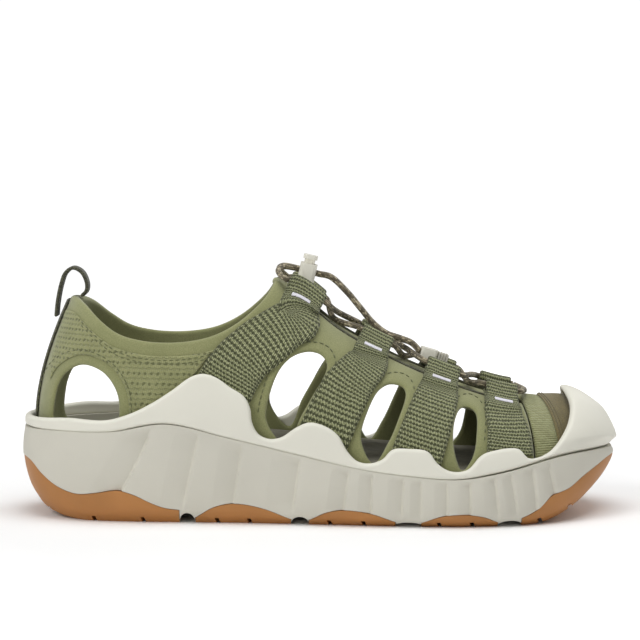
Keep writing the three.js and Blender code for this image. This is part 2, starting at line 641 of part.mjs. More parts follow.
function plunger() {
  const bodyTop = LOCK.height - LOCK_BORE_ABOVE_BASE;
  const base = SLOT_BASE - PLUNGER.floor;
  const capBase = bodyTop + PLUNGER.travel + CLEARANCE;
  const stem = new THREE.ExtrudeGeometry(roundBox(PLUNGER.length, PLUNGER.width, 1.8),
    { depth: capBase - base + PLUNGER.cap / 2, bevelEnabled: false, curveSegments: 4 });
  stem.translate(0, 0, base);
  const cap = new THREE.ExtrudeGeometry(roundBox(PLUNGER.length + 2 * PLUNGER.capLip,
    PLUNGER.width + 2 * PLUNGER.capLip, 2.4), { depth: PLUNGER.cap, bevelEnabled: false, curveSegments: 5 });
  cap.translate(0, 0, capBase);
  const slot = new THREE.BoxGeometry(2 * LOCK.length, LOCK_STRAND_PITCH + LACE_DIAMETER + 2 * CLEARANCE,
    SLOT_TOP - SLOT_BASE);
  slot.translate(0, 0, (SLOT_TOP + SLOT_BASE) / 2);
  return cut(join(stem, cap), slot);
}

// A conical spring that nests flat as the plunger comes down.
function plungerSpring() {
  const floor = LOCK.floor - LOCK_BORE_ABOVE_BASE + SPRING_WIRE / 2 + CLEARANCE / 2;
  const top = SLOT_BASE - PLUNGER.floor - SPRING_WIRE / 2 - CLEARANCE / 2;
  const turns = 3;
  const points = [];
  for (let i = 0; i <= turns * 10; i++) {
    const share = i / (turns * 10);
    const angle = share * turns * 2 * Math.PI;
    const radius = lerp(PLUNGER.length / 2 - SPRING_WIRE, 0.9, share);
    points.push(vec(radius * Math.cos(angle), radius * Math.sin(angle), lerp(floor, top, share)));
  }
  const curve = new THREE.CatmullRomCurve3(points);
  const wire = new THREE.Shape();
  wire.absarc(0, 0, SPRING_WIRE / 2, 0, 2 * Math.PI);
  return new THREE.ExtrudeGeometry(wire, { steps: turns * 12, extrudePath: curve, curveSegments: 3 });
}

// The clip's own frame: x from the cords' entry to its ribbed grip, origin at the entry.
function laceClip() {
  const shell = new THREE.ExtrudeGeometry(roundBox(CLIP.length - CLIP.grip, CLIP.width, 1.6),
    { depth: CLIP.height, bevelEnabled: false, curveSegments: 4 });
  shell.translate((CLIP.length - CLIP.grip) / 2, 0, -CLIP.height / 2);
  const strandHole = new THREE.BoxGeometry(5, LOCK_STRAND_PITCH + LACE_DIAMETER + 2 * CLEARANCE,
    LACE_DIAMETER + 2 * CLEARANCE);
  return cut(shell, strandHole);
}

function clipGrip() {
  const pitch = CLIP.grip / CLIP.ribs;
  const ribWidth = pitch * 0.6;
  const core = new THREE.BoxGeometry(CLIP.grip - CLEARANCE, CLIP.width - 2, CLIP.height - 2);
  core.translate(CLIP.length - (CLIP.grip - CLEARANCE) / 2, 0, 0);
  const rings = Array.from({ length: CLIP.ribs }, (_, i) => {
    const ring = new THREE.BoxGeometry(ribWidth, CLIP.width - 0.8, CLIP.height - 0.8);
    return ring.translate(CLIP.length - CLIP.grip + CLEARANCE + ribWidth / 2 + i * pitch, 0, 0);
  });
  return join(core, ...rings);
}

// ---------------------------------------------------------------- heel loop and tongue

// Webbing bent along a line in the middle plane of the shoe.
function bentWebbing(points, width, thickness, divisions) {
  const curve = new THREE.CatmullRomCurve3(points.map(([x, z]) => graded(x, 0, z)), false, 'centripetal');
  return sheet(divisions, 1, (i, j, layer) => {
    const centre = curve.getPointAt(i);
    const along = curve.getTangentAt(i);
    const normal = vec(-along.z, 0, along.x);
    return centre.addScaledVector(normal, (layer - 0.5) * thickness).setY((j - 0.5) * width);
  });
}

const LOOP_LINE = [[-133.1, 98.5], [-132.3, 106], [-130.4, 115], [-128.2, 120.5], [-124.5, 123],
  [-120.2, 121], [-117.6, 115.6], [-117.8, 111.5], [-120.4, 108.7]];

// ---------------------------------------------------------------- sole

const RAND_INNER = STRAP_LOW + STRAP_THICKNESS / 2 + 2 * CLEARANCE;
const SOLE_RIM = RAND_INNER + RAND_FOOT;
const SOLE_OUTSET = 8;
const PLAN_STEPS = 26;
const RAND_LAP = 0.008;

function footRing(pointOf) {
  const lateral = Array.from({ length: PLAN_STEPS + 1 }, (_, i) => pointOf(LATERAL, i / PLAN_STEPS));
  const medial = Array.from({ length: PLAN_STEPS - 1 }, (_, i) => pointOf(MEDIAL, 1 - (i + 1) / PLAN_STEPS));
  return [...lateral, ...medial];
}

const outwardAt = (side, u) => formNormal(side, u, 0.06).setZ(0).normalize();

// The whole sole's outside: from the ground edge, out over the bulge, up to the rand's seam.
function soleBlock(extra) {
  const levels = [[0, -SOLE_UNDERCUT], [0.12, 0], [0.36, MIDSOLE_BULGE], [0.7, MIDSOLE_BULGE * 0.8], [1, 0]];
  return stack(levels.map(([share, bulge]) => footRing((side, u) => {
    const outward = outwardAt(side, u);
    const rim = onForm(side, u, ribAtHeight(side, u, seamHeight), SOLE_RIM);
    const edge = boardEdge.getPoint(ringPlace(side, u)).addScaledVector(outward, SOLE_OUTSET);
    const point = edge.lerp(rim.clone().setZ(0), share).addScaledVector(outward, bulge + extra);
    return point.setZ(lerp(groundHeight(point.x), seamHeight(rim.x), share));
  })));
}

// The room inside the sole's walls for the upper, the board and the footbed. The outsole pods
// stay outside the same room with a wall of foam added.
function soleRoom(wall) {
  const lift = QUARTER_THICKNESS + 2 * CLEARANCE + wall;
  const levels = [0, 0.5, 1, 1.5];
  const walls = levels.map((share) => footRing((side, u) => {
    const height = (x) => lerp(boardBase(x), seamHeight(x), share) + (share > 1 ? 5 : 0);
    return onForm(side, u, share === 0 ? 0 : ribAtHeight(side, u, height), lift);
  }));
  const floor = walls[0].map((point) => point.clone().setZ(boardBase(point.x) - CLEARANCE - wall));
  return stack([floor, ...walls]);
}

function podOutline(points, gap) {
  const curve = new THREE.CatmullRomCurve3(gradedSide(points).map((p) => vec(p.x, p.y, 0)), false, 'centripetal');
  const top = curve.getSpacedPoints(14).map((p) => new THREE.Vector2(p.x, p.y + gap));
  const [first, last] = [top[0], top[top.length - 1]];
  first.x -= gap;
  last.x += gap;
  return [...top, new THREE.Vector2(last.x, -5), new THREE.Vector2(first.x, -5)];
}

function outsolePod(points) {
  const pod = common(soleBlock(-OUTSOLE_SETBACK), across(podOutline(points, 0), -FAR, FAR));
  return cut(pod, soleRoom(FOAM_OVER_PODS));
}

function midsole() {
  const room = soleRoom(FOAM_OVER_PODS - CLEARANCE);
  const pods = Object.values(PODS).map((points) => cut(across(podOutline(points, CLEARANCE), -FAR, FAR), room));
  const grooves = GROOVES.map(([from, to, top]) => {
    const outline = gradedSide([[from, -5], [to, -5], [to, top], [from, top]]);
    return across(outline, -FAR, FAR);
  });
  return cut(soleBlock(0), soleRoom(0), ...pods, ...grooves);
}

// The rand: a band round the upper from the sole's seam, closed over the toes as a cap.
function rand() {
  const above = regionBeyond(RAND_TOP, [[117, 170], [-156, 170]], 72);
  const halves = SIDES.map((side) => sheet(34, 6, (i, j, layer) => {
    const u = lerp(-RAND_LAP, 1 + RAND_LAP, i);
    const seam = ribAtHeight(side, Math.abs(u), (x) => seamHeight(x) + CLEARANCE);
    const v = lerp(seam, 1 + RAND_LAP, j ** 1.5);
    const bumper = TOE_BUMPER * smoothstep(u, 0.8, 0.93) * (1 - smoothstep(v, 0.5, 1.1));
    const outer = lerp(RAND_FOOT, RAND_EDGE, smoothstep(v, seam, seam + 0.35)) + bumper * smoothstep(v, seam, 0.3);
    const point = onForm(side, u, v, RAND_INNER + layer * outer);
    return j === 0 ? point.setZ(seamHeight(point.x) + 1.5 * CLEARANCE) : point;
  }));
  return cut(join(...halves), across(above, -FAR, FAR));
}

function lastingBoard() {
  const rings = [0, BOARD_THICKNESS].map((rise) => footRing((side, u) => {
    const point = onForm(side, u, 0, -CLEARANCE);
    return point.setZ(boardBase(point.x) + rise);
  }));
  return stack(rings);
}

function footbed() {
  const rings = [0, 1].map((share) => footRing((side, u) => {
    const height = (x) => boardTop(x) + CLEARANCE + share * FOOTBED_THICKNESS;
    const point = onForm(side, u, ribAtHeight(side, u, height), -2 * CLEARANCE);
    return point.setZ(height(point.x));
  }));
  return stack(rings);
}

// ---------------------------------------------------------------- materials

const finish = (color, roughness, metalness = 0) => new THREE.MeshStandardMaterial({ color, roughness, metalness });
const FINISHES = {
  gum: () => finish('#b5793a', 0.55),
  foam: () => finish('#cfcbba', 0.6),
  rand: () => finish('#d6d3c3', 0.55),
  board: () => finish('#5c5a50', 0.9),
  footbed: () => finish('#7d7a6e', 0.85),
  knit: () => finish('#8c9160', 0.9),
  mesh: () => finish('#868a5b', 0.95),
  tongue: () => finish('#8e9263', 0.9),
  olive: () => finish('#6c6237', 0.8),
  dark: () => finish('#3f4128', 0.9),
  webbing: () => finish('#747a4a', 0.9),
  tack: () => finish('#d8d6d2', 0.7),
  lace: () => finish('#6f6a52', 0.9),
  cream: () => finish('#dedbcc', 0.45),
  grip: () => finish('#a6a497', 0.6),
  steel: () => finish('#b9bcbf', 0.3, 0.9),
};

// ---------------------------------------------------------------- assembly

const sandal = new THREE.Group();

function add(name, geometry, finishName, parent = sandal) {
  const mesh = new THREE.Mesh(geometry, FINISHES[finishName]());
  mesh.name = name;
  parent.add(mesh);
}

for (const [name, points] of Object.entries(PODS)) add(name, outsolePod(points), 'gum');
add('midsole', midsole(), 'foam');
add('rand', rand(), 'rand');
add('lasting_board', lastingBoard(), 'board');
add('footbed', footbed(), 'footbed');

for (const side of SIDES) {
  const name = sideName(side);
  add(`quarter_${name}`, quarter(side), 'knit');
  add(`heel_mesh_${name}`, heelMesh(side), 'mesh');
  add(`throat_binding_${name}`, binding(side), 'dark');
  STRAPS.forEach((_, index) => {
    add(`strap_${name}_${index + 1}`, strap(side, index), 'webbing');
    add(`bar_tack_${name}_${index + 1}`, barTack(side, index), 'tack');
  });
  add(`lace_tail_${name}`, tail(side), 'lace');
}
add('lace_strand_lateral', laceStrand(LATERAL, LACE_LOW, frontBridge()), 'lace');
add('lace_strand_medial', laceStrand(MEDIAL, LACE_HIGH, []), 'lace');

const overlayLow = VAMP_THICKNESS + CLEARANCE;
add('vamp', saddle([QUARTER_FRONT + 0.003, 0.955], [0, VAMP_THICKNESS], [8, 16], () => 0.03), 'mesh');
add('toe_overlay', saddle([TOE_OVERLAY_BACK, 0.95], [overlayLow, overlayLow + TOE_OVERLAY_THICKNESS], [6, 16],
  (side, u) => ribAtHeight(side, u, (x) => seamHeight(x) + 1)), 'olive');
add('tongue', saddle([0.45, QUARTER_FRONT - 0.002], [-1.5 * CLEARANCE - TONGUE_THICKNESS, -1.5 * CLEARANCE], [18, 8],
  () => 0.62), 'tongue');
add('heel_tape', heelTape(), 'dark');
add('pull_loop', bentWebbing(LOOP_LINE, LOOP.width, LOOP.thickness, 16), 'dark');

const lock = new THREE.Group();
lock.position.copy(LOCK_AT);
lock.rotation.y = radians(LOCK.tilt);
add('cord_lock_body', lockBody(), 'cream', lock);
add('cord_lock_plunger', plunger(), 'cream', lock);
add('cord_lock_spring', plungerSpring(), 'steel', lock);
sandal.add(lock);

const clip = new THREE.Group();
clip.position.copy(CLIP_AT);
clip.rotation.y = radians(CLIP.tilt);
add('lace_clip', laceClip(), 'cream', clip);
add('lace_clip_grip', clipGrip(), 'grip', clip);
sandal.add(clip);

// The finished part stands with the middle of its box on the origin.
sandal.updateMatrixWorld(true);
const box = new THREE.Box3().setFromObject(sandal, true);
const centre = box.getCenter(vec());
const placed = new THREE.Group();
sandal.position.set(-centre.x, -centre.y, -box.min.z);
placed.add(sandal);

export default placed;
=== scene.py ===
import math

import bmesh
import bpy
import numpy as np
from bpy.props import FloatProperty, FloatVectorProperty, IntProperty, PointerProperty
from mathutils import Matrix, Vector


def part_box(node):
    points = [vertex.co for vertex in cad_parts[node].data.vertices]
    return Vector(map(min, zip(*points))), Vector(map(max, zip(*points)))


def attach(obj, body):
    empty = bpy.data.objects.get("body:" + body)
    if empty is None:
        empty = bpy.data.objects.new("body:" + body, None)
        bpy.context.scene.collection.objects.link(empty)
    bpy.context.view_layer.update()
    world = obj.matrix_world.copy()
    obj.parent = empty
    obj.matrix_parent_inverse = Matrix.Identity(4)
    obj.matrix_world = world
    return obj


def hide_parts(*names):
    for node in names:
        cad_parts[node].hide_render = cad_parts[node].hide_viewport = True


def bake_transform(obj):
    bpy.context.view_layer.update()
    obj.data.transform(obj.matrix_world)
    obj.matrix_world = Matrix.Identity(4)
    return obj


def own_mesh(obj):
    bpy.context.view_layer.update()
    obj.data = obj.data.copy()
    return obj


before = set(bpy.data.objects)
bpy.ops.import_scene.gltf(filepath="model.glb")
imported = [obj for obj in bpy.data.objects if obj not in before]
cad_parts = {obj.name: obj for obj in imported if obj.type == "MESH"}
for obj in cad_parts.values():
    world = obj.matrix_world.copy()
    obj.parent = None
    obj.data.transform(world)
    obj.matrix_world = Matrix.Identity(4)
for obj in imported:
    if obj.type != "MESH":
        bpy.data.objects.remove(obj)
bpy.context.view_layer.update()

bl_info = {
    "name": "Strappy Sport Sandal",
    "version": (1, 0, 0),
    "blender": (4, 5, 0),
    "location": "3D View > Sidebar > Sandal",
    "description": "Builds the soft goods, sole and finishes of a sport sandal round its frame",
    "category": "Object",
}

MM = 0.001

# ---------------------------------------------------------------- sizes shared with the frame

LATERAL, MEDIAL = -1, 1
SIDES = ((LATERAL, "lateral"), (MEDIAL, "medial"))

CLEARANCE = 0.3
QUARTER_THICKNESS = 2.4
HEEL_PAD = 3.2
MESH_THICKNESS = 0.6
TONGUE_THICKNESS = 3.6
VAMP_THICKNESS = 2.0
OVERLAY_THICKNESS = 0.8
STRAP_THICKNESS = 1.2
STRAP_FOOT_WIDTHS = (28, 26, 25, 23)
STRAP_HEAD_WIDTHS = (20, 17, 17.5, 17.5)
STRAP_RETURN = 17
STRAP_NECK = 15
STRAP_STRAIGHT = 7
TACK_WIDTH, TACK_DEPTH = 9, 2.2
RAND_EDGE, RAND_FOOT, TOE_BUMPER = 2.1, 4, 3.2
BOARD_THICKNESS = 1.5
FOOTBED_THICKNESS = 5
MIDSOLE_BULGE = 2
SOLE_UNDERCUT = 4
SOLE_OUTSET = 8
OUTSOLE_SETBACK = 0.4
FOAM_OVER_PODS = 3.5
LACE_DIAMETER = 3
LOCK_AT = (-6.3, 0, 121.3)
LOCK_TILT, LOCK_HEIGHT, LOCK_BORE_ABOVE_BASE = 13, 10.5, 6.5
SPRING_WIRE, SPRING_TURNS = 0.5, 3
SPRING_RADII, SPRING_ENDS = (2.19, 0.9), (-5.3, -3.26)
STRAND_PITCH = 3.7
CLIP_AT_Y = -4.95
LOOP_WIDTH, LOOP_THICKNESS = 9.5, 1.8
TAPE_WIDTH, TAPE_THICKNESS, TAPE_TOP, TAPE_RIB_SPAN = 14, 1.1, 106, 220

STRAP_LOW = QUARTER_THICKNESS + 2.5 * CLEARANCE + STRAP_THICKNESS / 2
STRAP_HIGH = STRAP_LOW + STRAP_THICKNESS + CLEARANCE
EYE_RADIUS = LACE_DIAMETER / 2 + 2 * CLEARANCE + STRAP_THICKNESS / 2
EYE_LIFT = STRAP_LOW + EYE_RADIUS
EYE_LEAD = 1.8
LACE_LOW = LACE_DIAMETER / 2 + CLEARANCE
LACE_HIGH = LACE_LOW + LACE_DIAMETER + 2 * CLEARANCE
RAND_INNER = STRAP_LOW + STRAP_THICKNESS / 2 + 2 * CLEARANCE
SOLE_RIM = RAND_INNER + RAND_FOOT


def frame_offset():
    """Where the foot form's own origin lies in the frame, from the middle of the cord lock."""
    low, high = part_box("cord_lock_body")
    drop = LOCK_HEIGHT / 2 - LOCK_BORE_ABOVE_BASE
    drawn = np.array(LOCK_AT) + drop * np.array([math.sin(math.radians(LOCK_TILT)), 0, 0])
    middle = (np.array(low) + np.array(high)) / 2 / MM
    return np.array([middle[0] - drawn[0], middle[1] - drawn[1], 0])


OFFSET = frame_offset()


def to_frame(points):
    return (np.asarray(points, float) + OFFSET) * MM


# ---------------------------------------------------------------- curves and the foot form


def smooth(x, low, high):
    t = np.clip((np.asarray(x, float) - low) / (high - low), 0, 1)
    return t * t * (3 - 2 * t)


def lerp(a, b, t):
    return a + (b - a) * t


def unit(vectors):
    return vectors / np.maximum(np.linalg.norm(vectors, axis=-1, keepdims=True), 1e-12)


class Curve:
    """A centripetal Catmull-Rom line through points, open or closed."""

    def __init__(self, points, closed=False):
        p = np.asarray(points, float)
        self.closed = closed
        if closed:
            run = np.vstack([p[-1:], p, p[:2]])
        else:
            run = np.vstack([2 * p[:1] - p[1:2], p, 2 * p[-1:] - p[-2:-1]])
        self.count = len(p) if closed else len(p) - 1
        p0, p1, p2, p3 = (run[k:k + self.count] for k in range(4))
        d0, d1, d2 = (np.maximum(np.sum((b - a) ** 2, 1) ** 0.25, 1e-4)[:, None]
                      for a, b in ((p0, p1), (p1, p2), (p2, p3)))
        out = ((p1 - p0) / d0 - (p2 - p0) / (d0 + d1) + (p2 - p1) / d1) * d1
        into = ((p2 - p1) / d1 - (p3 - p1) / (d1 + d2) + (p3 - p2) / d2) * d1
        self.terms = (p1, out, 3 * (p2 - p1) - 2 * out - into, 2 * (p1 - p2) + out + into)

    def at(self, t):
        place = np.asarray(t, float) * self.count
        if self.closed:
            place = place % self.count
        i = np.clip(np.floor(place).astype(int), 0, self.count - 1)
        w = (place - i)[..., None]
        a, b, c, d = (term[i] for term in self.terms)
        return a + w * (b + w * (c + w * d))

    def spaced(self, count):
        fine = self.at(np.linspace(0, 1 - 1e-9, 40 * self.count + 1))
        run = np.r_[0, np.cumsum(np.linalg.norm(np.diff(fine, axis=0), axis=1))]
        places = np.linspace(0, run[-1], count)
        return np.stack([np.interp(places, run, fine[:, k]) for k in range(fine.shape[1])], 1)


def profile(stations):
    """Smooth height along the shoe, a cubic through stations of (x, z)."""
    xs, zs = np.array(stations, float).T
    slopes = np.empty_like(xs)
    slopes[1:-1] = (zs[2:] - zs[:-2]) / (xs[2:] - xs[:-2])
    slopes[0] = (zs[1] - zs[0]) / (xs[1] - xs[0])
    slopes[-1] = (zs[-1] - zs[-2]) / (xs[-1] - xs[-2])

    def height(x):
        i = np.clip(np.searchsorted(xs, x, side="right") - 1, 0, len(xs) - 2)
        span = xs[i + 1] - xs[i]
        t = np.clip((x - xs[i]) / span, 0, 1)
        rise = (2 * t**3 - 3 * t**2 + 1) * zs[i] + (3 * t**2 - 2 * t**3) * zs[i + 1]
        return rise + ((t**3 - 2 * t**2 + t) * slopes[i] + (t**3 - t**2) * slopes[i + 1]) * span

    return height


# Ribs of the form: board x, lateral y, medial y, then the crown's x, y, z.
RIBS = ((-139.5, 0, 0, -118, 0, 119), (-134, -17, 17, -113, 13, 119), (-116, -29, 29, -99, 23, 119),
        (-90, -34, 33, -77, 27, 119), (-60, -36, 32, -51, 25, 119), (-33, -38, 31, -32, 16, 120),
        (-8, -41, 33, -21, 0, 118), (16, -44, 38, 3, 0, 98), (42, -47, 43, 33, 0, 81),
        (70, -48, 46, 64, 0, 67.5), (95, -44, 46, 90, 1, 59), (116, -33, 41, 110, 3, 56),
        (131, -15, 28, 124, 6, 55), (139, 8, 8, 132, 8, 50))
ANKLE_RIBS = 5 / (len(RIBS) - 1)
INSTEP_RIBS = 7 / (len(RIBS) - 1)
CROWN_MEET = 0.97

bed_height = profile(((-140, 43), (-100, 41), (-60, 39.5), (-20, 37), (10, 33), (30, 30.6), (60, 27.5),
                      (90, 26.5), (115, 28), (140, 31)))
seam_height = profile(((-152, 43.5), (-138, 44.3), (-102, 45), (-75, 49), (-45, 42.5), (-10, 34.4),
                       (20, 28), (48, 24.5), (68, 23.6), (88, 26.5), (116, 32.5), (135, 33.5), (152, 32)))
ground_curve = profile(((-152, 22), (-148, 14.5), (-143, 9), (-136, 4.6), (-127, 1.6), (-116, 0), (-104, 0),
                        (92, 0), (102, 0), (111, 1.2), (121, 4.8), (132, 10.5), (142, 17.5), (149, 24),
                        (153, 28)))


def ground_height(x):
    return np.maximum(ground_curve(x), 0)


def board_base(x):
    return bed_height(x) - FOOTBED_THICKNESS - CLEARANCE - BOARD_THICKNESS


def ring_curve(lateral, medial):
    return Curve([lateral(rib) for rib in RIBS] + [medial(rib) for rib in RIBS[-2:0:-1]], closed=True)


BOARD_EDGE = ring_curve(lambda r: (r[0], r[1], 0), lambda r: (r[0], r[2], 0))
CROWN = ring_curve(lambda r: (r[3], -r[4] if RIBS.index(r) < 7 else r[4], r[5]), lambda r: r[3:])


def fold_over(side, u, v):
    """Carries a place that runs past an edge of its side on to the other side."""
    side, u, v = (np.array(k, float) for k in np.broadcast_arrays(side, u, v))
    side = np.where(u < 0, -side, side)
    u = np.abs(u)
    side = np.where(u > 1, -side, side)
    u = np.where(u > 1, 2 - u, u)
    side = np.where(v > 1, -side, side)
    v = np.where(v > 1, 2 - v, v)
    return side, u, v


def form_point(side, u, v):
    """Point on the form: u along the ribs from heel to toe, v up the rib from 0 to 1."""
    side, u, v = fold_over(side, u, v)
    place = np.where(side < 0, u / 2, (1 - u / 2) % 1)
    foot, top = BOARD_EDGE.at(place), CROWN.at(place)
    foot[..., 2] = board_base(foot[..., 0])
    along = unit(BOARD_EDGE.at(place + 1e-4) - BOARD_EDGE.at(place - 1e-4))
    outward = np.stack([along[..., 1], -along[..., 0], np.zeros_like(u)], -1)
    instep = smooth(u, ANKLE_RIBS - 0.08, INSTEP_RIBS - 0.08)[..., None]
    rise = (top - foot) * np.array([0, 0, 1.0])
    inward = (foot - top) * np.array([1.0, 1.0, 0])
    low = foot + outward * lerp(5, 3, instep) + rise * lerp(0.33, 0.55, instep)
    high = top + inward * lerp(0.5, 0.58, instep) - rise * lerp(0.27, 0.02, instep)
    t = v[..., None]
    return (1 - t)**3 * foot + 3 * (1 - t)**2 * t * low + 3 * (1 - t) * t**2 * high + t**3 * top


def side_normal(side, u, v, step=2e-3):
    along = form_point(side, u + step, v) - form_point(side, u - step, v)
    up = form_point(side, u, v + step) - form_point(side, u, np.maximum(v - step, 0))
    return unit(np.cross(along, up) * -side[..., None])


def form_normal(side, u, v):
    """Outward normal. Along the crown, where the two sides meet, it is the mean of both."""
    side, u, v = fold_over(side, u, v)
    low = np.minimum(v, CROWN_MEET)
    own = side_normal(side, u, low)
    mean = own + side_normal(-side, u, low)
    share = np.clip((v - CROWN_MEET) / (1 - CROWN_MEET), 0, 1)[..., None]
    return unit(own * (1 - share) + mean * share)


def on_form(side, u, v, lift):
    lift = np.asarray(lift, float)[..., None]
    return form_point(side, u, v) + form_normal(side, u, v) * lift


def rib_at_height(side, u, height):
    u = np.asarray(u, float)
    low, high = np.zeros_like(u), np.ones_like(u)
    for _ in range(18):
        middle = (low + high) / 2
        point = form_point(side, u, middle)
        below = point[..., 2] < height(point[..., 0])
        low, high = np.where(below, middle, low), np.where(below, high, middle)
    return (low + high) / 2


def slopes_at(side, u, v):
    here = form_point(side, u, v)
    return here, (form_point(side, u + 1e-3, v) - here) * 1e3, (form_point(side, u, v + 1e-3) - here) * 1e3


def locate(side, x, z):
    """Form coordinates of points seen from the side at x, z."""
    x, z = np.asarray(x, float), np.asarray(z, float)
    u, v = np.full_like(x, 0.5), np.full_like(x, 0.4)
    for _ in range(40):
        here, by_u, by_v = slopes_at(side, u, v)
        dx, dz = x - here[..., 0], z - here[..., 2]
        size = by_u[..., 0] * by_v[..., 2] - by_v[..., 0] * by_u[..., 2]
        u = np.clip(u + 0.7 * (dx * by_v[..., 2] - by_v[..., 0] * dz) / size, 0.01, 0.99)
        v = np.clip(v + 0.7 * (by_u[..., 0] * dz - dx * by_u[..., 2]) / size, 0.01, 0.9)
    return u, v


def move_on_form(side, u, v, direction, distance):
    """The u, v reached by a step along a direction in the tangent plane."""
    _, by_u, by_v = slopes_at(side, u, v)
    uu, uv, vv = (np.sum(a * b, -1) for a, b in ((by_u, by_u), (by_u, by_v), (by_v, by_v)))
    du, dv = np.sum(by_u * direction, -1) * distance, np.sum(by_v * direction, -1) * distance
    size = uu * vv - uv * uv
    return u + (du * vv - dv * uv) / size, v + (dv * uu - du * uv) / size


def rib_at_x(side, v, x):
    low, high = ANKLE_RIBS, 1.0
    for _ in range(20):
        middle = (low + high) / 2
        if form_point(side, middle, v)[0] < x:
            low = middle
        else:
            high = middle
    return (low + high) / 2


# ---------------------------------------------------------------- outlines seen from the side

THROAT_EDGE = 0.755
BINDING_REACH = 0.03
QUARTER_FRONT = 0.8
OVERLAY_BACK = 0.846
TOPLINE = ((-150, 109), (-122, 108.5), (-117, 106), (-108, 98), (-99, 92), (-88, 89), (-75, 88), (-62, 89),
           (-52, 91.5), (-42, 96.5), (-33, 103.5), (-26, 111), (-21, 120))
HEEL_HOLE = ((-131, 44), (-131.5, 60), (-127, 71), (-117.5, 76.5), (-107, 73.5), (-100.5, 65.5),
             (-98.5, 57), (-101, 45), (-116, 40))
SIDE_WINDOWS = (
    ((-26, 50), (-24, 65), (-19, 76), (-13, 81.5), (-5, 83.5), (1, 81.5), (3.5, 76.5), (-4.5, 61),
     (-9.5, 52), (-16, 38)),
    ((20, 42), (24, 57), (29, 65), (34.5, 67.5), (40.5, 66), (42, 63), (38, 51), (33, 40), (26, 30)),
    ((65, 38), (65.7, 50), (69, 55.5), (73.5, 55.7), (76.5, 53), (76.5, 45), (74, 33), (69, 27)))
MESH_HOLE_BAND = 5.0
COLLAR_BAND = 6.5
PANEL_REACH = ((-134.5, 50), (-134.5, 62), (-133.8, 79), (-130, 93), (-126, 104), (-110, 106), (-80, 100),
               (-44, 100), (-46, 92), (-58, 77), (-64, 68), (-67, 60), (-71, 54), (-90, 50))
RAND_TOP = ((-156, 49.5), (-138, 50), (-123, 51), (-105, 50.5), (-93, 53.8), (-82, 59.2), (-72.5, 65.2),
            (-62.8, 72), (-57, 73.4), (-51, 71.8), (-43.8, 67), (-37, 62.6), (-34, 57), (-33, 50),
            (-30, 44.5), (-25, 42.2), (-19, 43), (-11, 48.2), (-4.9, 50.4), (3, 48.4), (9, 44), (13, 37),
            (18, 32), (24, 31), (30, 33), (35, 37.8), (44, 38.2), (52, 37), (57, 31), (63, 27.6), (71, 28.2),
            (78, 35), (84, 37), (96, 37.5), (101, 33), (106, 33), (113, 36), (119, 42), (123.5, 49),
            (125, 56), (122, 63), (117, 70))
PODS = {
    "outsole_heel_pod": ((-158, 30), (-145, 28.5), (-138, 22.5), (-130, 17), (-120, 13.8), (-110, 14.6),
                         (-99, 16), (-91, 14), (-83, 10.2), (-76, 7.6), (-69, 6.6)),
    "outsole_arch_pod": ((-61, 2.6), (-52, 8.2), (-41.6, 10.2), (-28, 8), (-14.2, 2.6)),
    "outsole_ball_pod": ((-5.4, 2.4), (3, 6.6), (12, 8), (25, 6.4), (36.5, 2.4)),
    "outsole_forefoot_pod": ((49.2, 2.2), (58, 5.4), (69, 6.5), (79, 5.2), (86.2, 2.2)),
    "outsole_toe_pod": ((98, 4), (106, 7.8), (113, 14), (122, 17), (129, 21.5), (137, 25.5), (145, 28.4),
                        (160, 29.5)),
}
POD_ENDS = {"outsole_heel_pod": (-138, -72), "outsole_arch_pod": (-58, -18), "outsole_ball_pod": (-2, 33),
            "outsole_forefoot_pod": (53, 83), "outsole_toe_pod": (100, 136)}
GROOVES = ((-68.7, -61.3, 8.5), (-13.9, -5.7, 7), (36.8, 48.9, 4), (86.5, 97.7, 5))
# Creases of the midsole wall: x at the seam, x near the ground, and the length of the facet behind each.
FLUTES = ((-81, -106, 15), (-59, -69, 11), (-38, -44, 10), (-10, -14.5, 13), (14, 10, 8), (25, 24, 6),
          (40, 39, 7), (48.5, 48.5, 5), (61, 61, 6), (72.3, 72.2, 6), (84, 86.5, 6), (92, 96, 5),
          (103, 105.5, 6), (111, 116, 5))
# How the channels between the pods are cut: their share of the frame's height, how near the middle line
# they reach, and the height of the slot that runs right across.
CHANNEL_SHARE, CHANNEL_INNER, CHANNEL_SLOT = 0.62, 18, 1.6
# How far from the middle line the tread's grooves and its side notches run, and how the notches slant.
TREAD_SPAN, NOTCH_SPAN = (1.5, 22), (26, 62)
NOTCH_SWEEP, NOTCH_LEAN, NOTCH_RISE = 6, 0.8, 1.3
# Where the tread's notches reach the side of each pod.
NOTCHES = {"outsole_heel_pod": (-115, -90), "outsole_arch_pod": (-53, -37), "outsole_ball_pod": (3, 20),
           "outsole_forefoot_pod": (57, 73), "outsole_toe_pod": (105, 119, 132)}


def closed_outline(points, count=120):
    return Curve(points, closed=True).spaced(count)[:-1]


def region_beyond(points, corners, count=260):
    return np.vstack([Curve(points).spaced(count), corners])


def signed_distance(points, outline):
    """Distance from side-view points to an outline, positive inside it."""
    shape = points.shape[:-1]
    p = points.reshape(-1, 2)
    a, b = outline, np.roll(outline, -1, 0)
    edge = b - a
    length = np.maximum(np.sum(edge**2, 1), 1e-12)
    nearest = np.full(len(p), np.inf)
    inside = np.zeros(len(p), bool)
    for start, way, size, end in zip(a, edge, length, b):
        t = np.clip(((p - start) @ way) / size, 0, 1)
        nearest = np.minimum(nearest, np.sum((p - start - t[:, None] * way)**2, 1))
        spans = (start[1] > p[:, 1]) != (end[1] > p[:, 1])
        if spans.any():
            reach = start[0] + (p[:, 1] - start[1]) * way[0] / (way[1] if way[1] else 1e-12)
            inside ^= spans & (p[:, 0] < reach)
    return (np.sqrt(nearest) * np.where(inside, 1, -1)).reshape(shape)


def seen(points):
    return points[..., [0, 2]]


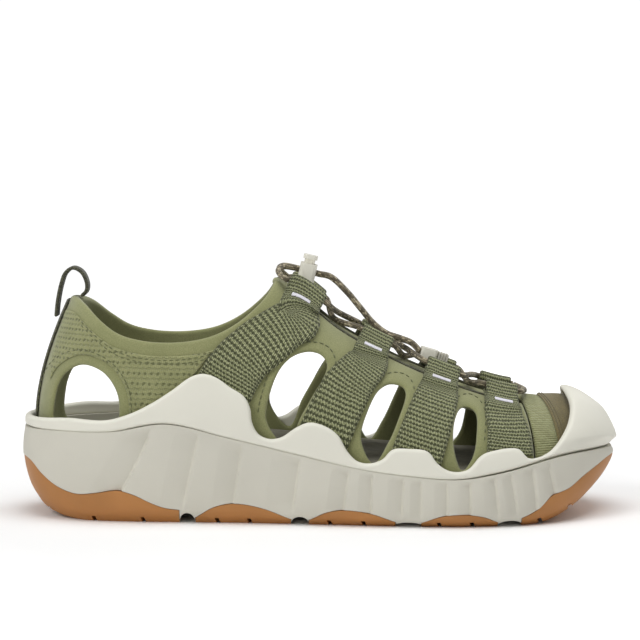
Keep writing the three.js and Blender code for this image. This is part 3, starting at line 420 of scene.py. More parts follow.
# ---------------------------------------------------------------- meshes


def trimmed(u, v, d, open_borders):
    """Cuts a grid along d = 0. Returns u, v, d and open-border flags of its points, and its faces."""
    ids = np.arange(u.size).reshape(u.shape)
    quads = np.stack([ids[:-1, :-1], ids[1:, :-1], ids[1:, 1:], ids[:-1, 1:]], -1).reshape(-1, 4)
    flags = np.zeros((u.size, 4), bool)
    for k, line in enumerate((ids[0], ids[-1], ids[:, 0], ids[:, -1])):
        flags[line, k] = open_borders[k]
    flat = np.where(np.abs(d.ravel()) < 0.03, 0, d.ravel())
    kept = flat[quads] >= 0
    faces = quads[kept.all(1)].tolist()
    us, vs, ds, marks = u.ravel().tolist(), v.ravel().tolist(), flat.tolist(), flags.tolist()
    made = {}

    def crossing(a, b):
        key = (min(a, b), max(a, b))
        if key not in made:
            t = ds[a] / (ds[a] - ds[b])
            made[key] = len(us)
            us.append(lerp(us[a], us[b], t))
            vs.append(lerp(vs[a], vs[b], t))
            ds.append(0.0)
            marks.append([p and q for p, q in zip(marks[a], marks[b])])
        return made[key]

    for quad in quads[kept.any(1) & ~kept.all(1)].tolist():
        ring = []
        for a, b in zip(quad, quad[1:] + quad[:1]):
            if ds[a] >= 0:
                ring.append(a)
            if ds[a] * ds[b] < 0:
                ring.append(crossing(a, b))
        if len(ring) > 2:
            faces.append(ring)
    used = sorted({k for face in faces for k in face})
    index = {k: n for n, k in enumerate(used)}
    faces = [[index[k] for k in face] for face in faces]
    return (np.array(us)[used], np.array(vs)[used], np.array(ds)[used], np.array(marks)[used], faces)


def shell(at, rows, columns, low, high, keep=None, edge=1.2, thin=0.15, open_borders=(0, 0, 0, 0),
          chart=None, relief=None):
    """A thick skin with rounded edges. at(u, v, lift) places it, keep gives its trimmed outline."""
    u, v = np.meshgrid(rows, columns, indexing="ij")
    bottom = low if callable(low) else lambda a, b: np.full_like(a, low)
    top = high if callable(high) else lambda a, b: np.full_like(a, high)
    middle = at(u, v, (bottom(u, v) + top(u, v)) / 2)
    down = np.pad(np.cumsum(np.linalg.norm(np.diff(middle, axis=0), axis=-1), 0), ((1, 0), (0, 0)))
    over = np.pad(np.cumsum(np.linalg.norm(np.diff(middle, axis=1), axis=-1), 1), ((0, 0), (1, 0)))
    d = np.full(u.shape, 1e3)
    for k, run in enumerate((down, down[-1:] - down, over, over[:, -1:] - over)):
        if not open_borders[k]:
            d = np.minimum(d, run)
    if keep:
        d = np.minimum(d, keep(middle))
    u, v, d, marks, faces = trimmed(u, v, d, open_borders)
    share = np.clip(d / edge, 0, 1)
    full = thin + (1 - thin) * np.sqrt(np.maximum(1 - (1 - share)**2, 0))
    centre, half = (bottom(u, v) + top(u, v)) / 2, (top(u, v) - bottom(u, v)) / 2
    outer = at(u, v, centre + half * full + (relief(u, v, d) if relief else 0))
    inner = at(u, v, centre - half * full)
    size = len(u)
    ways = {(a, b) for face in faces for a, b in zip(face, face[1:] + face[:1])}
    walls = [[b, a, a + size, b + size] for a, b in ways
             if (b, a) not in ways and not (marks[a] & marks[b]).any()]
    faces = faces + [[k + size for k in reversed(face)] for face in faces] + walls
    plan = chart(u, v) if chart else np.stack([u, v], -1)
    return np.vstack([outer, inner]), faces, np.vstack([plan, plan])


def signed_volume(points, faces):
    total = 0.0
    for size in {len(face) for face in faces}:
        rings = points[np.array([face for face in faces if len(face) == size])]
        for k in range(1, size - 1):
            total += np.sum(rings[:, 0] * np.cross(rings[:, k], rings[:, k + 1]))
    return total


def build(name, parts, weld=0.0):
    """One object from parts of (points, faces, plan), with its faces turned out."""
    points = np.vstack([part[0] for part in parts])
    plan = np.vstack([part[2] for part in parts])
    faces, start = [], 0
    for part_points, part_faces, _ in parts:
        centre = part_points.mean(0)
        flip = not weld and signed_volume(part_points - centre, part_faces) < 0
        faces += [[k + start for k in (reversed(face) if flip else face)] for face in part_faces]
        start += len(part_points)
    mesh = bpy.data.meshes.new(name)
    mesh.from_pydata(to_frame(points).tolist(), [], faces)
    layer = mesh.uv_layers.new(name="plan")
    corners = np.empty(len(mesh.loops), int)
    mesh.loops.foreach_get("vertex_index", corners)
    layer.data.foreach_set("uv", plan[corners].ravel().astype(np.float32))
    if weld:
        work = bmesh.new()
        work.from_mesh(mesh)
        bmesh.ops.remove_doubles(work, verts=work.verts, dist=weld * MM)
        bmesh.ops.recalc_face_normals(work, faces=work.faces)
        work.to_mesh(mesh)
        work.free()
    mesh.validate()
    mesh.shade_smooth()
    thing = bpy.data.objects.new(name, mesh)
    bpy.context.scene.collection.objects.link(thing)
    return thing


def place(thing, material, body, slot, *nodes):
    """Finishes a piece: its material, the body it rides on (None if blended), and the frame nodes it hides.
    Its slot is not used.
    """
    thing.data.materials.clear()
    thing.data.materials.append(material)
    if body:
        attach(thing, body)
    if nodes:
        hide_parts(*nodes)
    return thing


def tube(points, radius, sides=14):
    """A closed round tube along points, with a plan of turns round and millimetres along."""
    points = np.asarray(points, float)
    way = unit(np.gradient(points, axis=0))
    across = np.zeros_like(way)
    across[0] = unit(np.cross(way[0], [0.3, 0.2, 1.0]))
    for k in range(1, len(way)):
        across[k] = unit(across[k - 1] - way[k] * np.dot(across[k - 1], way[k]))
    third = np.cross(way, across)
    turn = np.linspace(0, 2 * math.pi, sides + 1)
    ring = (across[:, None] * np.cos(turn)[None, :, None] + third[:, None] * np.sin(turn)[None, :, None])
    run = np.r_[0, np.cumsum(np.linalg.norm(np.diff(points, axis=0), axis=1))]
    grid = points[:, None] + radius * ring
    plan = np.stack(np.meshgrid(run, turn * radius, indexing="ij"), -1)
    count = sides + 1
    faces = [[i * count + j, (i + 1) * count + j, (i + 1) * count + j + 1, i * count + j + 1]
             for i in range(len(points) - 1) for j in range(sides)]
    last = (len(points) - 1) * count
    faces += [list(range(sides)), [last + j for j in reversed(range(sides))]]
    return grid.reshape(-1, 3), faces, plan.reshape(-1, 2)


def threads(points, ways, normals, length, radius):
    """Short stitches: a rounded grain at each point, lying along its way."""
    rings, sides = 5, 6
    places = np.linspace(-1, 1, rings)
    swell = np.sqrt(np.maximum(1 - (0.97 * places)**2, 0))
    turn = np.arange(sides) * 2 * math.pi / sides
    a, b = np.meshgrid(places * length / 2, turn, indexing="ij")
    size = np.repeat(swell[:, None], sides, 1) * radius
    side_way = np.cross(ways, normals)
    grains = (points[:, None, None] + ways[:, None, None] * a[None, ..., None]
              + normals[:, None, None] * (np.cos(b) * size)[None, ..., None]
              + side_way[:, None, None] * (np.sin(b) * size)[None, ..., None])
    one = [[i * sides + j, i * sides + (j + 1) % sides,
            (i + 1) * sides + (j + 1) % sides, (i + 1) * sides + j]
           for i in range(rings - 1) for j in range(sides)]
    one += [list(reversed(range(sides))), [(rings - 1) * sides + j for j in range(sides)]]
    step = rings * sides
    faces = [[k + n * step for k in face] for n in range(len(points)) for face in one]
    grid = grains.reshape(-1, 3)
    return grid, faces, grid[:, [0, 2]]


def stitch_run(side, outline, lift, pitch, radius):
    """Stitches on the form along a side-view line."""
    run = np.r_[0, np.cumsum(np.linalg.norm(np.diff(outline, axis=0), axis=1))]
    count = max(int(run[-1] / pitch), 4)
    places = (np.arange(count) + 0.5) * run[-1] / count
    line = np.stack([np.interp(places, run, outline[:, k]) for k in (0, 1)], 1)
    u, v = locate(side, line[:, 0], line[:, 1])
    points, normals = on_form(side, u, v, np.full(count, lift)), form_normal(side, u, v)
    off = np.linalg.norm(seen(form_point(side, u, v)) - line, axis=1) < 1.5
    ways = unit(np.gradient(points, axis=0))
    ways = unit(ways - normals * np.sum(ways * normals, 1, keepdims=True))
    return threads(points[off], ways[off], normals[off], pitch * 0.78, radius)


def widened(outline, distance):
    """A closed side-view outline moved outward."""
    way = unit(np.roll(outline, -1, 0) - np.roll(outline, 1, 0))
    out = np.stack([way[:, 1], -way[:, 0]], 1)
    moved = outline + out * distance
    if np.ptp(moved[:, 0]) < np.ptp(outline[:, 0]):
        moved = outline - out * distance
    return np.vstack([moved, moved[:1]])


# ---------------------------------------------------------------- shader nodes


def link(tree, source, target):
    tree.links.new(source, target)


def math_node(tree, operation, *values):
    node = tree.nodes.new("ShaderNodeMath")
    node.operation = operation
    for socket, value in zip(node.inputs, values):
        if isinstance(value, (int, float)):
            socket.default_value = value
        else:
            link(tree, value, socket)
    return node.outputs[0]


def noise(tree, vector, scale, detail=3.0, roughness=0.55):
    node = tree.nodes.new("ShaderNodeTexNoise")
    node.inputs["Scale"].default_value = scale
    node.inputs["Detail"].default_value = detail
    node.inputs["Roughness"].default_value = roughness
    link(tree, vector, node.inputs["Vector"])
    return node.outputs["Fac"]


def new_group(name, inputs, outputs):
    """An empty shader node group with named sockets."""
    group = bpy.data.node_groups.new(name, "ShaderNodeTree")
    for label, kind, value in inputs:
        socket = group.interface.new_socket(name=label, in_out="INPUT", socket_type=kind)
        if value is not None:
            socket.default_value = value
    for label in outputs:
        group.interface.new_socket(name=label, in_out="OUTPUT", socket_type="NodeSocketFloat")
    return group, group.nodes.new("NodeGroupInput"), group.nodes.new("NodeGroupOutput")


def make_cell_group():
    """Rows of staggered rounded cells, as woven, knitted or braided yarns lie."""
    group, source, sink = new_group(
        "Staggered yarns", (("Vector", "NodeSocketVector", None), ("Pitch Across", "NodeSocketFloat", 1.0),
                            ("Pitch Along", "NodeSocketFloat", 1.0), ("Waver", "NodeSocketFloat", 0.2)),
        ("Height", "Shade", "Gap"))
    split = group.nodes.new("ShaderNodeSeparateXYZ")
    link(group, source.outputs["Vector"], split.inputs[0])
    waver = math_node(group, "SUBTRACT", noise(group, source.outputs["Vector"], 0.45, 2.0), 0.5)
    waver = math_node(group, "MULTIPLY", waver, source.outputs["Waver"])
    y = math_node(group, "DIVIDE", split.outputs[1], source.outputs["Pitch Along"])
    y = math_node(group, "ADD", y, waver)
    row, fy = math_node(group, "FLOOR", y), math_node(group, "FRACT", y)
    half = math_node(group, "MODULO", math_node(group, "ABSOLUTE", row), 2.0)
    half = math_node(group, "MULTIPLY", half, 0.5)
    x = math_node(group, "DIVIDE", split.outputs[0], source.outputs["Pitch Across"])
    x = math_node(group, "ADD", math_node(group, "ADD", x, half), waver)
    cell, fx = math_node(group, "FLOOR", x), math_node(group, "FRACT", x)
    rise_y = math_node(group, "SINE", math_node(group, "MULTIPLY", fy, math.pi))
    rise_x = math_node(group, "SINE", math_node(group, "MULTIPLY", fx, math.pi))
    height = math_node(group, "MULTIPLY", rise_y, math_node(group, "MULTIPLY_ADD", rise_x, 0.6, 0.4))
    join = group.nodes.new("ShaderNodeCombineXYZ")
    link(group, cell, join.inputs[0])
    link(group, row, join.inputs[1])
    random = group.nodes.new("ShaderNodeTexWhiteNoise")
    link(group, join.outputs[0], random.inputs["Vector"])
    gap = math_node(group, "SUBTRACT", 1.0, math_node(group, "MULTIPLY", height, 2.2))
    link(group, height, sink.inputs["Height"])
    link(group, random.outputs["Value"], sink.inputs["Shade"])
    link(group, math_node(group, "MAXIMUM", gap, 0.0), sink.inputs["Gap"])
    return group


def make_row_group():
    """Wavy rows of yarn that lean on each other, as in open webbing or a ribbed knit."""
    group, source, sink = new_group(
        "Wavy rows", (("Vector", "NodeSocketVector", None), ("Row Pitch", "NodeSocketFloat", 2.0),
                      ("Wave Length", "NodeSocketFloat", 3.0), ("Wave Height", "NodeSocketFloat", 0.2),
                      ("Yarn Width", "NodeSocketFloat", 0.24)),
        ("Height", "Yarn", "Gap", "Dimple"))
    split = group.nodes.new("ShaderNodeSeparateXYZ")
    link(group, source.outputs["Vector"], split.inputs[0])
    drift = math_node(group, "SUBTRACT", noise(group, source.outputs["Vector"], 0.4, 2.0), 0.5)
    turn = math_node(group, "DIVIDE", split.outputs[0], source.outputs["Wave Length"])
    turn = math_node(group, "MULTIPLY", math_node(group, "ADD", turn, drift), 2 * math.pi)
    wave = math_node(group, "SINE", turn)
    y = math_node(group, "DIVIDE", split.outputs[1], source.outputs["Row Pitch"])
    y = math_node(group, "MULTIPLY_ADD", drift, 0.5, y)
    row, inside = math_node(group, "FLOOR", y), math_node(group, "FRACT", y)
    swap = math_node(group, "MODULO", math_node(group, "ABSOLUTE", row), 2.0)
    swap = math_node(group, "MULTIPLY_ADD", swap, -2.0, 1.0)
    lean = math_node(group, "MULTIPLY", wave, source.outputs["Wave Height"])
    centre = math_node(group, "MULTIPLY_ADD", lean, swap, 0.5)
    off = math_node(group, "ABSOLUTE", math_node(group, "SUBTRACT", inside, centre))
    gap = math_node(group, "DIVIDE", math_node(group, "SUBTRACT", off, source.outputs["Yarn Width"]), 0.16)
    gap = math_node(group, "MINIMUM", math_node(group, "MAXIMUM", gap, 0.0), 1.0)
    twist = math_node(group, "MULTIPLY_ADD", inside, 0.9, math_node(group, "DIVIDE", split.outputs[0], 0.8))
    twist = math_node(group, "SINE", math_node(group, "MULTIPLY", twist, 2 * math.pi))
    mottle = noise(group, source.outputs["Vector"], 1.7, 3.0)
    yarn = math_node(group, "MULTIPLY_ADD", twist, 0.16, mottle)
    height = math_node(group, "MULTIPLY_ADD", twist, 0.12, math_node(group, "SUBTRACT", 1.0, gap))
    dimple = math_node(group, "MULTIPLY", gap, math_node(group, "MAXIMUM", wave, 0.0))
    for label, value in (("Height", height), ("Yarn", yarn), ("Gap", gap), ("Dimple", dimple)):
        link(group, value, sink.inputs[label])
    return group


def make_grain_group():
    """A fine moulded or felted grain with slow tone changes."""
    group, source, sink = new_group(
        "Surface grain", (("Vector", "NodeSocketVector", None), ("Grain Scale", "NodeSocketFloat", 2500.0),
                          ("Tone Scale", "NodeSocketFloat", 60.0)), ("Height", "Tone"))
    for label, output, detail in (("Grain Scale", "Height", 3.0), ("Tone Scale", "Tone", 4.0)):
        node = group.nodes.new("ShaderNodeTexNoise")
        node.inputs["Detail"].default_value = detail
        link(group, source.outputs["Vector"], node.inputs["Vector"])
        link(group, source.outputs[label], node.inputs["Scale"])
        link(group, node.outputs["Fac"], sink.inputs[output])
    return group


class Finish:
    """One procedural material, with its Principled shader and the steps that colour it."""

    def __init__(self, name, roughness, sheen=0.0, coat=0.0):
        self.material = bpy.data.materials.new(name)
        self.material.use_nodes = True
        self.tree = self.material.node_tree
        self.shader = self.tree.nodes["Principled BSDF"]
        self.shader.inputs["Roughness"].default_value = roughness
        self.shader.inputs["Sheen Weight"].default_value = sheen
        self.shader.inputs["Sheen Roughness"].default_value = 0.6
        self.shader.inputs["Coat Weight"].default_value = coat
        self.colour = None

    def vector(self, kind):
        if kind == "plan":
            node = self.tree.nodes.new("ShaderNodeUVMap")
            node.uv_map = "plan"
            return node.outputs["UV"]
        return self.tree.nodes.new("ShaderNodeTexCoord").outputs["Object"]

    def group(self, name, vector, **values):
        node = self.tree.nodes.new("ShaderNodeGroup")
        node.node_tree = bpy.data.node_groups[name]
        link(self.tree, vector, node.inputs["Vector"])
        for label, value in values.items():
            node.inputs[label.replace("_", " ")].default_value = value
        return node

    def ramp(self, value, low, high):
        node = self.tree.nodes.new("ShaderNodeMapRange")
        node.inputs["From Min"].default_value = low
        node.inputs["From Max"].default_value = high
        link(self.tree, value, node.inputs["Value"])
        return node.outputs["Result"]

    def blend(self, mask, colour, amount=1.0):
        """Lays a colour over what is there so far, where the mask is high."""
        node = self.tree.nodes.new("ShaderNodeMix")
        node.data_type = "RGBA"
        link(self.tree, math_node(self.tree, "MULTIPLY", mask, amount), node.inputs[0])
        if isinstance(self.colour, tuple):
            node.inputs[6].default_value = self.colour
        else:
            link(self.tree, self.colour, node.inputs[6])
        node.inputs[7].default_value = colour
        self.colour = node.outputs[2]

    def bump(self, height, distance, strength=1.0):
        node = self.tree.nodes.new("ShaderNodeBump")
        node.inputs["Distance"].default_value = distance * MM
        node.inputs["Strength"].default_value = strength
        link(self.tree, height, node.inputs["Height"])
        if self.shader.inputs["Normal"].is_linked:
            link(self.tree, self.shader.inputs["Normal"].links[0].from_socket, node.inputs["Normal"])
        link(self.tree, node.outputs["Normal"], self.shader.inputs["Normal"])

    def done(self):
        if isinstance(self.colour, tuple):
            self.shader.inputs["Base Color"].default_value = self.colour
        else:
            link(self.tree, self.colour, self.shader.inputs["Base Color"])
        return self.material


def tint(colour, factor=1.0):
    return tuple(min(c * factor, 1.0) for c in colour[:3]) + (1.0,)


def yarn_finish(name, base, dark, light, across, along, depth, contrast=1.0, sheen=0.25, waver=0.2):
    """Woven, knitted or braided yarns of three shades, with painted shade darkening the gaps between them."""
    finish = Finish(name, 0.88, sheen=sheen)
    cells = finish.group("Staggered yarns", finish.vector("plan"), Pitch_Across=across, Pitch_Along=along,
                         Waver=waver)
    grain = finish.group("Surface grain", finish.vector("object"), Grain_Scale=2600.0, Tone_Scale=170.0)
    finish.colour = tint(base)
    finish.blend(finish.ramp(cells.outputs["Shade"], 0.45, 1.0), tint(light), contrast)
    finish.blend(finish.ramp(cells.outputs["Shade"], 0.5, 0.0), tint(dark), 0.75 * contrast)
    finish.blend(finish.ramp(grain.outputs["Tone"], 0.5, 0.72), tint(dark), 0.5 * contrast)
    # Painted shade: the gaps between the yarns are darkened.
    finish.blend(cells.outputs["Gap"], tint(dark, 0.6), min(0.9 * contrast, 0.95))
    finish.bump(grain.outputs["Height"], 0.05, 0.5)
    finish.bump(cells.outputs["Height"], depth)
    return finish.done()


def webbing_finish(name, base, dark, light, edge):
    """Open webbing: pale wavy rows over a dark ground, with close dark selvedges."""
    finish = Finish(name, 0.85, sheen=0.12)
    rows = finish.group("Wavy rows", finish.vector("plan"), Row_Pitch=1.0, Wave_Length=1.7, Wave_Height=0.13,
                        Yarn_Width=0.19)
    split = finish.tree.nodes.new("ShaderNodeSeparateXYZ")
    link(finish.tree, finish.vector("plan"), split.inputs[0])
    selvedge = finish.ramp(math_node(finish.tree, "ABSOLUTE", split.outputs[0]), edge - 0.4, edge + 0.4)
    finish.colour = tint(base)
    finish.blend(finish.ramp(rows.outputs["Yarn"], 0.45, 0.68), tint(light), 0.8)
    finish.blend(finish.ramp(rows.outputs["Yarn"], 0.5, 0.3), tint(dark, 1.6), 0.55)
    finish.blend(rows.outputs["Gap"], tint(dark), 0.9)
    finish.blend(math_node(finish.tree, "MULTIPLY", selvedge, finish.ramp(rows.outputs["Yarn"], 0.7, 0.35)),
                 tint(dark), 0.75)
    finish.bump(rows.outputs["Height"], 0.35)
    return finish.done()


def row_finish(name, base, dark, light, pitch, wave_length, depth, contrast):
    """A ribbed knit, with painted shade darkening the gaps between its rows and, more deeply, its small
    dimples.
    """
    finish = Finish(name, 0.9, sheen=0.2)
    rows = finish.group("Wavy rows", finish.vector("plan"), Row_Pitch=pitch, Wave_Length=wave_length,
                        Wave_Height=0.14, Yarn_Width=0.27)
    grain = finish.group("Surface grain", finish.vector("object"), Grain_Scale=2400.0, Tone_Scale=120.0)
    finish.colour = tint(base)
    finish.blend(finish.ramp(rows.outputs["Yarn"], 0.5, 0.75), tint(light), 0.7 * contrast)
    finish.blend(finish.ramp(grain.outputs["Tone"], 0.45, 0.75), tint(dark), 0.35)
    # Painted shade: the gaps between the rows are darkened, and the dimples in them darker still.
    finish.blend(rows.outputs["Gap"], tint(dark), 0.35 * contrast)
    finish.blend(rows.outputs["Dimple"], tint(dark, 0.45), 0.85 * contrast)
    finish.bump(grain.outputs["Height"], 0.06, 0.6)
    finish.bump(rows.outputs["Height"], depth)
    return finish.done()


def felt_finish(name, base, shade, depth=0.12, sheen=0.3):
    """A smooth brushed knit with a soft pile."""
    finish = Finish(name, 0.92, sheen=sheen)
    grain = finish.group("Surface grain", finish.vector("object"), Grain_Scale=1900.0, Tone_Scale=90.0)
    finish.colour = tint(base)
    finish.blend(finish.ramp(grain.outputs["Height"], 0.62, 0.4), tint(shade), 0.45)
    finish.blend(finish.ramp(grain.outputs["Tone"], 0.4, 0.75), tint(shade), 0.3)
    finish.bump(grain.outputs["Height"], depth, 0.7)
    return finish.done()


def moulded_finish(name, base, shade, roughness, grain=2200.0, depth=0.03, coat=0.0, mottle=0.3):
    """Moulded rubber, foam or plastic."""
    finish = Finish(name, roughness, coat=coat)
    node = finish.group("Surface grain", finish.vector("object"), Grain_Scale=grain, Tone_Scale=35.0)
    finish.colour = tint(base)
    finish.blend(finish.ramp(node.outputs["Tone"], 0.35, 0.7), tint(shade), mottle)
    finish.blend(finish.ramp(node.outputs["Height"], 0.68, 0.8), tint(shade, 0.8), 0.25)
    rough = finish.ramp(node.outputs["Tone"], 0.0, 1.0)
    rough = math_node(finish.tree, "MULTIPLY_ADD", rough, 0.16, roughness - 0.08)
    link(finish.tree, rough, finish.shader.inputs["Roughness"])
    finish.bump(node.outputs["Height"], depth, 0.6)
    return finish.done()


# ---------------------------------------------------------------- settings


def shade_property(name, description, red, green, blue):
    """A colour property, its default given as display values from 0 to 255."""
    straight = [((c / 255 + 0.055) / 1.055)**2.4 if c > 10 else c / 255 / 12.92 for c in (red, green, blue)]
    return FloatVectorProperty(name=name, description=description, subtype="COLOR", size=3, min=0, max=1,
                               default=straight)


def length_property(name, description, millimetres):
    return FloatProperty(name=name, description=description, default=millimetres * MM, min=0, unit="LENGTH",
                         subtype="DISTANCE", precision=4)


class SandalColours(bpy.types.PropertyGroup):
    """Colours of the sandal's finishes."""
    knit: shade_property("Knit", "Smooth knit of collar and window edges", 145, 146, 99)
    knit_shade: shade_property("Knit shade", "Deeper shade of the knit", 112, 117, 70)
    knit_light: shade_property("Knit light", "Highlights of the dimpled knit", 165, 169, 124)
    webbing: shade_property("Webbing", "Main yarn of the straps", 128, 133, 88)
    webbing_dark: shade_property("Webbing dark", "Dark yarn of the straps", 50, 54, 22)
    webbing_light: shade_property("Webbing light", "Pale yarn of the straps", 190, 192, 152)
    tape: shade_property("Tape", "Heel tape, pull loop and bindings", 70, 70, 48)
    overlay: shade_property("Overlay", "Woven overlay behind the toe cap", 112, 100, 54)
    lace: shade_property("Lace", "Main yarn of the laces", 108, 98, 74)
    lace_fleck: shade_property("Lace fleck", "Pale flecks of the laces", 196, 184, 152)
    tack: shade_property("Bar tack", "Reflective thread of the bar tacks", 232, 230, 238)
    rand: shade_property("Rand", "Moulded rand and toe cap", 226, 224, 211)
    foam: shade_property("Foam", "Midsole foam", 205, 202, 189)
    gum: shade_property("Gum", "Outsole rubber", 180, 122, 62)
    footbed: shade_property("Footbed", "Top cloth of the footbed", 136, 132, 116)
    plastic: shade_property("Plastic", "Cord lock and end clip", 238, 235, 221)


class SandalSizes(bpy.types.PropertyGroup):
    """Sizes of the details that the looks add to the frame."""
    flute_depth: length_property("Crease depth", "How deep the midsole's creases run", 2.4)
    stitch_pitch: length_property("Stitch pitch", "Distance from stitch to stitch", 3.0)
    thread_radius: length_property("Thread radius", "Half the thickness of the sewing thread", 0.34)
    tread_depth: length_property("Tread depth", "Depth of the grooves under the outsole", 2.0)
    tread_pitch: length_property("Tread pitch", "Distance between grooves of the outsole", 11.0)
    rib_pitch: length_property("Webbing rib", "Height of one row of the strap webbing near its head", 1.95)
    strap_rows: IntProperty(name="Strap rows", description="Mesh rows along a strap", default=300, min=40)


class SandalStage(bpy.types.PropertyGroup):
    """Camera, floor and lights."""
    distance: FloatProperty(name="Camera distance", description="From the sandal's middle to the camera",
                            default=1.05, min=0.3, unit="LENGTH")
    height: FloatProperty(name="Camera height", description="Camera above the floor", default=0.18,
                          unit="LENGTH")
    pitch: FloatProperty(name="Camera pitch", description="How far the camera looks down",
                         default=math.radians(4.55), subtype="ANGLE")
    lens: FloatProperty(name="Lens", description="Focal length in millimetres", default=117.06, min=10)
    glow: FloatProperty(name="Floor glow", description="Light that the floor gives off, like a lit table",
                        default=0.5, min=0)
    ambient: FloatProperty(name="Ambient light", description="Strength of the even studio light",
                           default=0.34, min=0)
    floor: shade_property("Floor", "Colour of the floor", 250, 250, 250)


def colours():
    return bpy.context.scene.sandal_colours


def sizes():
    return bpy.context.scene.sandal_sizes


# ---------------------------------------------------------------- sole

BULGE = profile(((0, -SOLE_UNDERCUT), (0.12, 0), (0.36, MIDSOLE_BULGE), (0.7, 0.8 * MIDSOLE_BULGE), (1, 0)))
RING_STEPS = 620


def ring_places(steps=RING_STEPS):
    """Side and u of a ring that runs heel, lateral side, toe, medial side."""
    out = np.arange(steps + 1) / steps
    back = 1 - np.arange(1, steps) / steps
    return np.r_[np.full(steps + 1, float(LATERAL)), np.full(steps - 1, float(MEDIAL))], np.r_[out, back]


def crease_depth(x, share, depth):
    """How far the wall stands in: facets that lean in towards each crease, then step out again."""
    total = np.zeros_like(x)
    for top, foot, reach in FLUTES:
        past = x - lerp(foot, top, share)
        facet = np.clip(1 + past / reach, 0, 1) * (1 - smooth(past, -0.2, 1.2))
        total = np.maximum(total, depth * facet * (0.55 + 0.45 * reach / 15))
    return total * smooth(share, 0.1, 0.34) * (1 - smooth(share, 0.84, 0.98))


def stack_part(rings):
    """A solid from foot-shaped rings, one above the other, with its caps closed by strips."""
    rings = np.asarray(rings)
    levels, size = rings.shape[:2]
    half = size // 2
    faces = [[k * size + i, k * size + (i + 1) % size, (k + 1) * size + (i + 1) % size, (k + 1) * size + i]
             for k in range(levels - 1) for i in range(size)]
    for base, flip in ((0, True), ((levels - 1) * size, False)):
        for i in range(half):
            ring = list(dict.fromkeys(base + k for k in (i, i + 1, size - i - 1, (size - i) % size)))
            if len(ring) > 2:
                faces.append(ring[::-1] if flip else ring)
    points = rings.reshape(-1, 3)
    return points, faces, points[:, [0, 2]]


def sole_rings(extra, levels, depth=0.0):
    side, u = ring_places()
    outward = form_normal(side, u, np.full_like(u, 0.06)) * np.array([1.0, 1.0, 0])
    outward = unit(outward)
    rim = on_form(side, u, rib_at_height(side, u, seam_height), np.full_like(u, float(SOLE_RIM)))
    edge = BOARD_EDGE.at(np.where(side < 0, u / 2, (1 - u / 2) % 1)) + outward * SOLE_OUTSET
    rings = []
    for share in levels:
        flat_rim = rim * np.array([1.0, 1.0, 0])
        point = lerp(edge, flat_rim, share)
        swell = BULGE(np.full_like(u, share)) + extra
        if depth:
            swell = swell - crease_depth(point[:, 0], share, depth)
        point = point + outward * swell[:, None]
        point[:, 2] = lerp(ground_height(point[:, 0]), seam_height(rim[:, 0]), share)
        rings.append(point)
    return rings


def room_rings(wall):
    side, u = ring_places()
    lift = QUARTER_THICKNESS + 2 * CLEARANCE + wall
    rings = []
    for share in (0, 0.25, 0.5, 0.75, 1, 1.5):
        rise = rib_at_height(side, u, lambda x: lerp(board_base(x), seam_height(x), share)
                             + (5 if share > 1 else 0)) if share else np.zeros_like(u)
        rings.append(on_form(side, u, rise, np.full_like(u, lift)))
    floor = rings[0].copy()
    floor[:, 2] = board_base(floor[:, 0]) - CLEARANCE - wall
    return [floor, *rings]


def across_part(outline, half=90.0):
    """A solid that runs across the shoe with one side-view outline."""
    outline = np.asarray(outline, float)
    size = len(outline)
    near, far = (np.stack([outline[:, 0], np.full(size, y), outline[:, 1]], 1) for y in (-half, half))
    faces = [list(range(size)), list(reversed(range(size, 2 * size)))]
    faces += [[(k + 1) % size, k, size + k, size + (k + 1) % size] for k in range(size)]
    points = np.vstack([near, far])
    return points, faces, points[:, [0, 2]]


def pod_outline(points, gap):
    top = Curve(points).spaced(60) + np.array([0, gap])
    top[0, 0] -= gap
    top[-1, 0] += gap
    return np.vstack([top, [(top[-1, 0], -5), (top[0, 0], -5)]])


def combine(thing, operation, *tools):
    """Cuts or trims a solid by others and keeps the plain result."""
    for tool in tools:
        step = thing.modifiers.new("cut", "BOOLEAN")
        step.operation = operation
        step.solver = "MANIFOLD"
        step.object = tool
        bpy.context.view_layer.update()
        shape = bpy.data.meshes.new_from_object(thing.evaluated_get(bpy.context.evaluated_depsgraph_get()))
        thing.modifiers.clear()
        if not len(shape.polygons):
            raise RuntimeError(f"{thing.name}: nothing was left after {operation} with {tool.name}")
        old = thing.data
        thing.data = shape
        bpy.data.meshes.remove(old)


def discard(*things):
    for thing in things:
        shape = thing.data
        bpy.data.objects.remove(thing)
        bpy.data.meshes.remove(shape)


def crisp(thing, degrees=35):
    """Smooth shading that keeps edges sharper than an angle."""
    thing.data.shade_smooth()
    thing.data.set_sharp_from_angle(angle=math.radians(degrees))


def tread_groove(x, side, near, far, lean, depth):
    """One slanted groove under a pod, between two distances from the middle line."""
    half, sweep = 1.0, -far / 10
    plan = ((x - half, near), (x + half, near), (x + half + sweep, far), (x - half + sweep, far))
    low = [(a + lean, b * side, -6) for a, b in plan]
    high = [(a - lean, b * side, float(ground_height(np.array(a))) + depth) for a, b in plan]
    faces = [[3, 2, 1, 0], [4, 5, 6, 7], [0, 1, 5, 4], [1, 2, 6, 5], [2, 3, 7, 6], [3, 0, 4, 7]]
    points = np.array(low + high, float)
    return points, faces, points[:, :2]


def tread_parts(name, pitch, depth):
    """Inner grooves at an even pitch, and the notches that run out through the side."""
    start, end = POD_ENDS[name]
    count = max(int((end - start) / pitch), 1)
    inner = [start + (k + 0.5) * (end - start) / count for k in range(count)]
    inner = [x for x in inner if min(abs(x - notch) for notch in NOTCHES[name]) > 4]
    parts = [tread_groove(x, side, *TREAD_SPAN, 0, depth) for x in inner for side, _ in SIDES]
    return parts + [tread_groove(x + NOTCH_SWEEP, side, *NOTCH_SPAN, NOTCH_LEAN, NOTCH_RISE * depth)
                    for x in NOTCHES[name] for side, _ in SIDES]


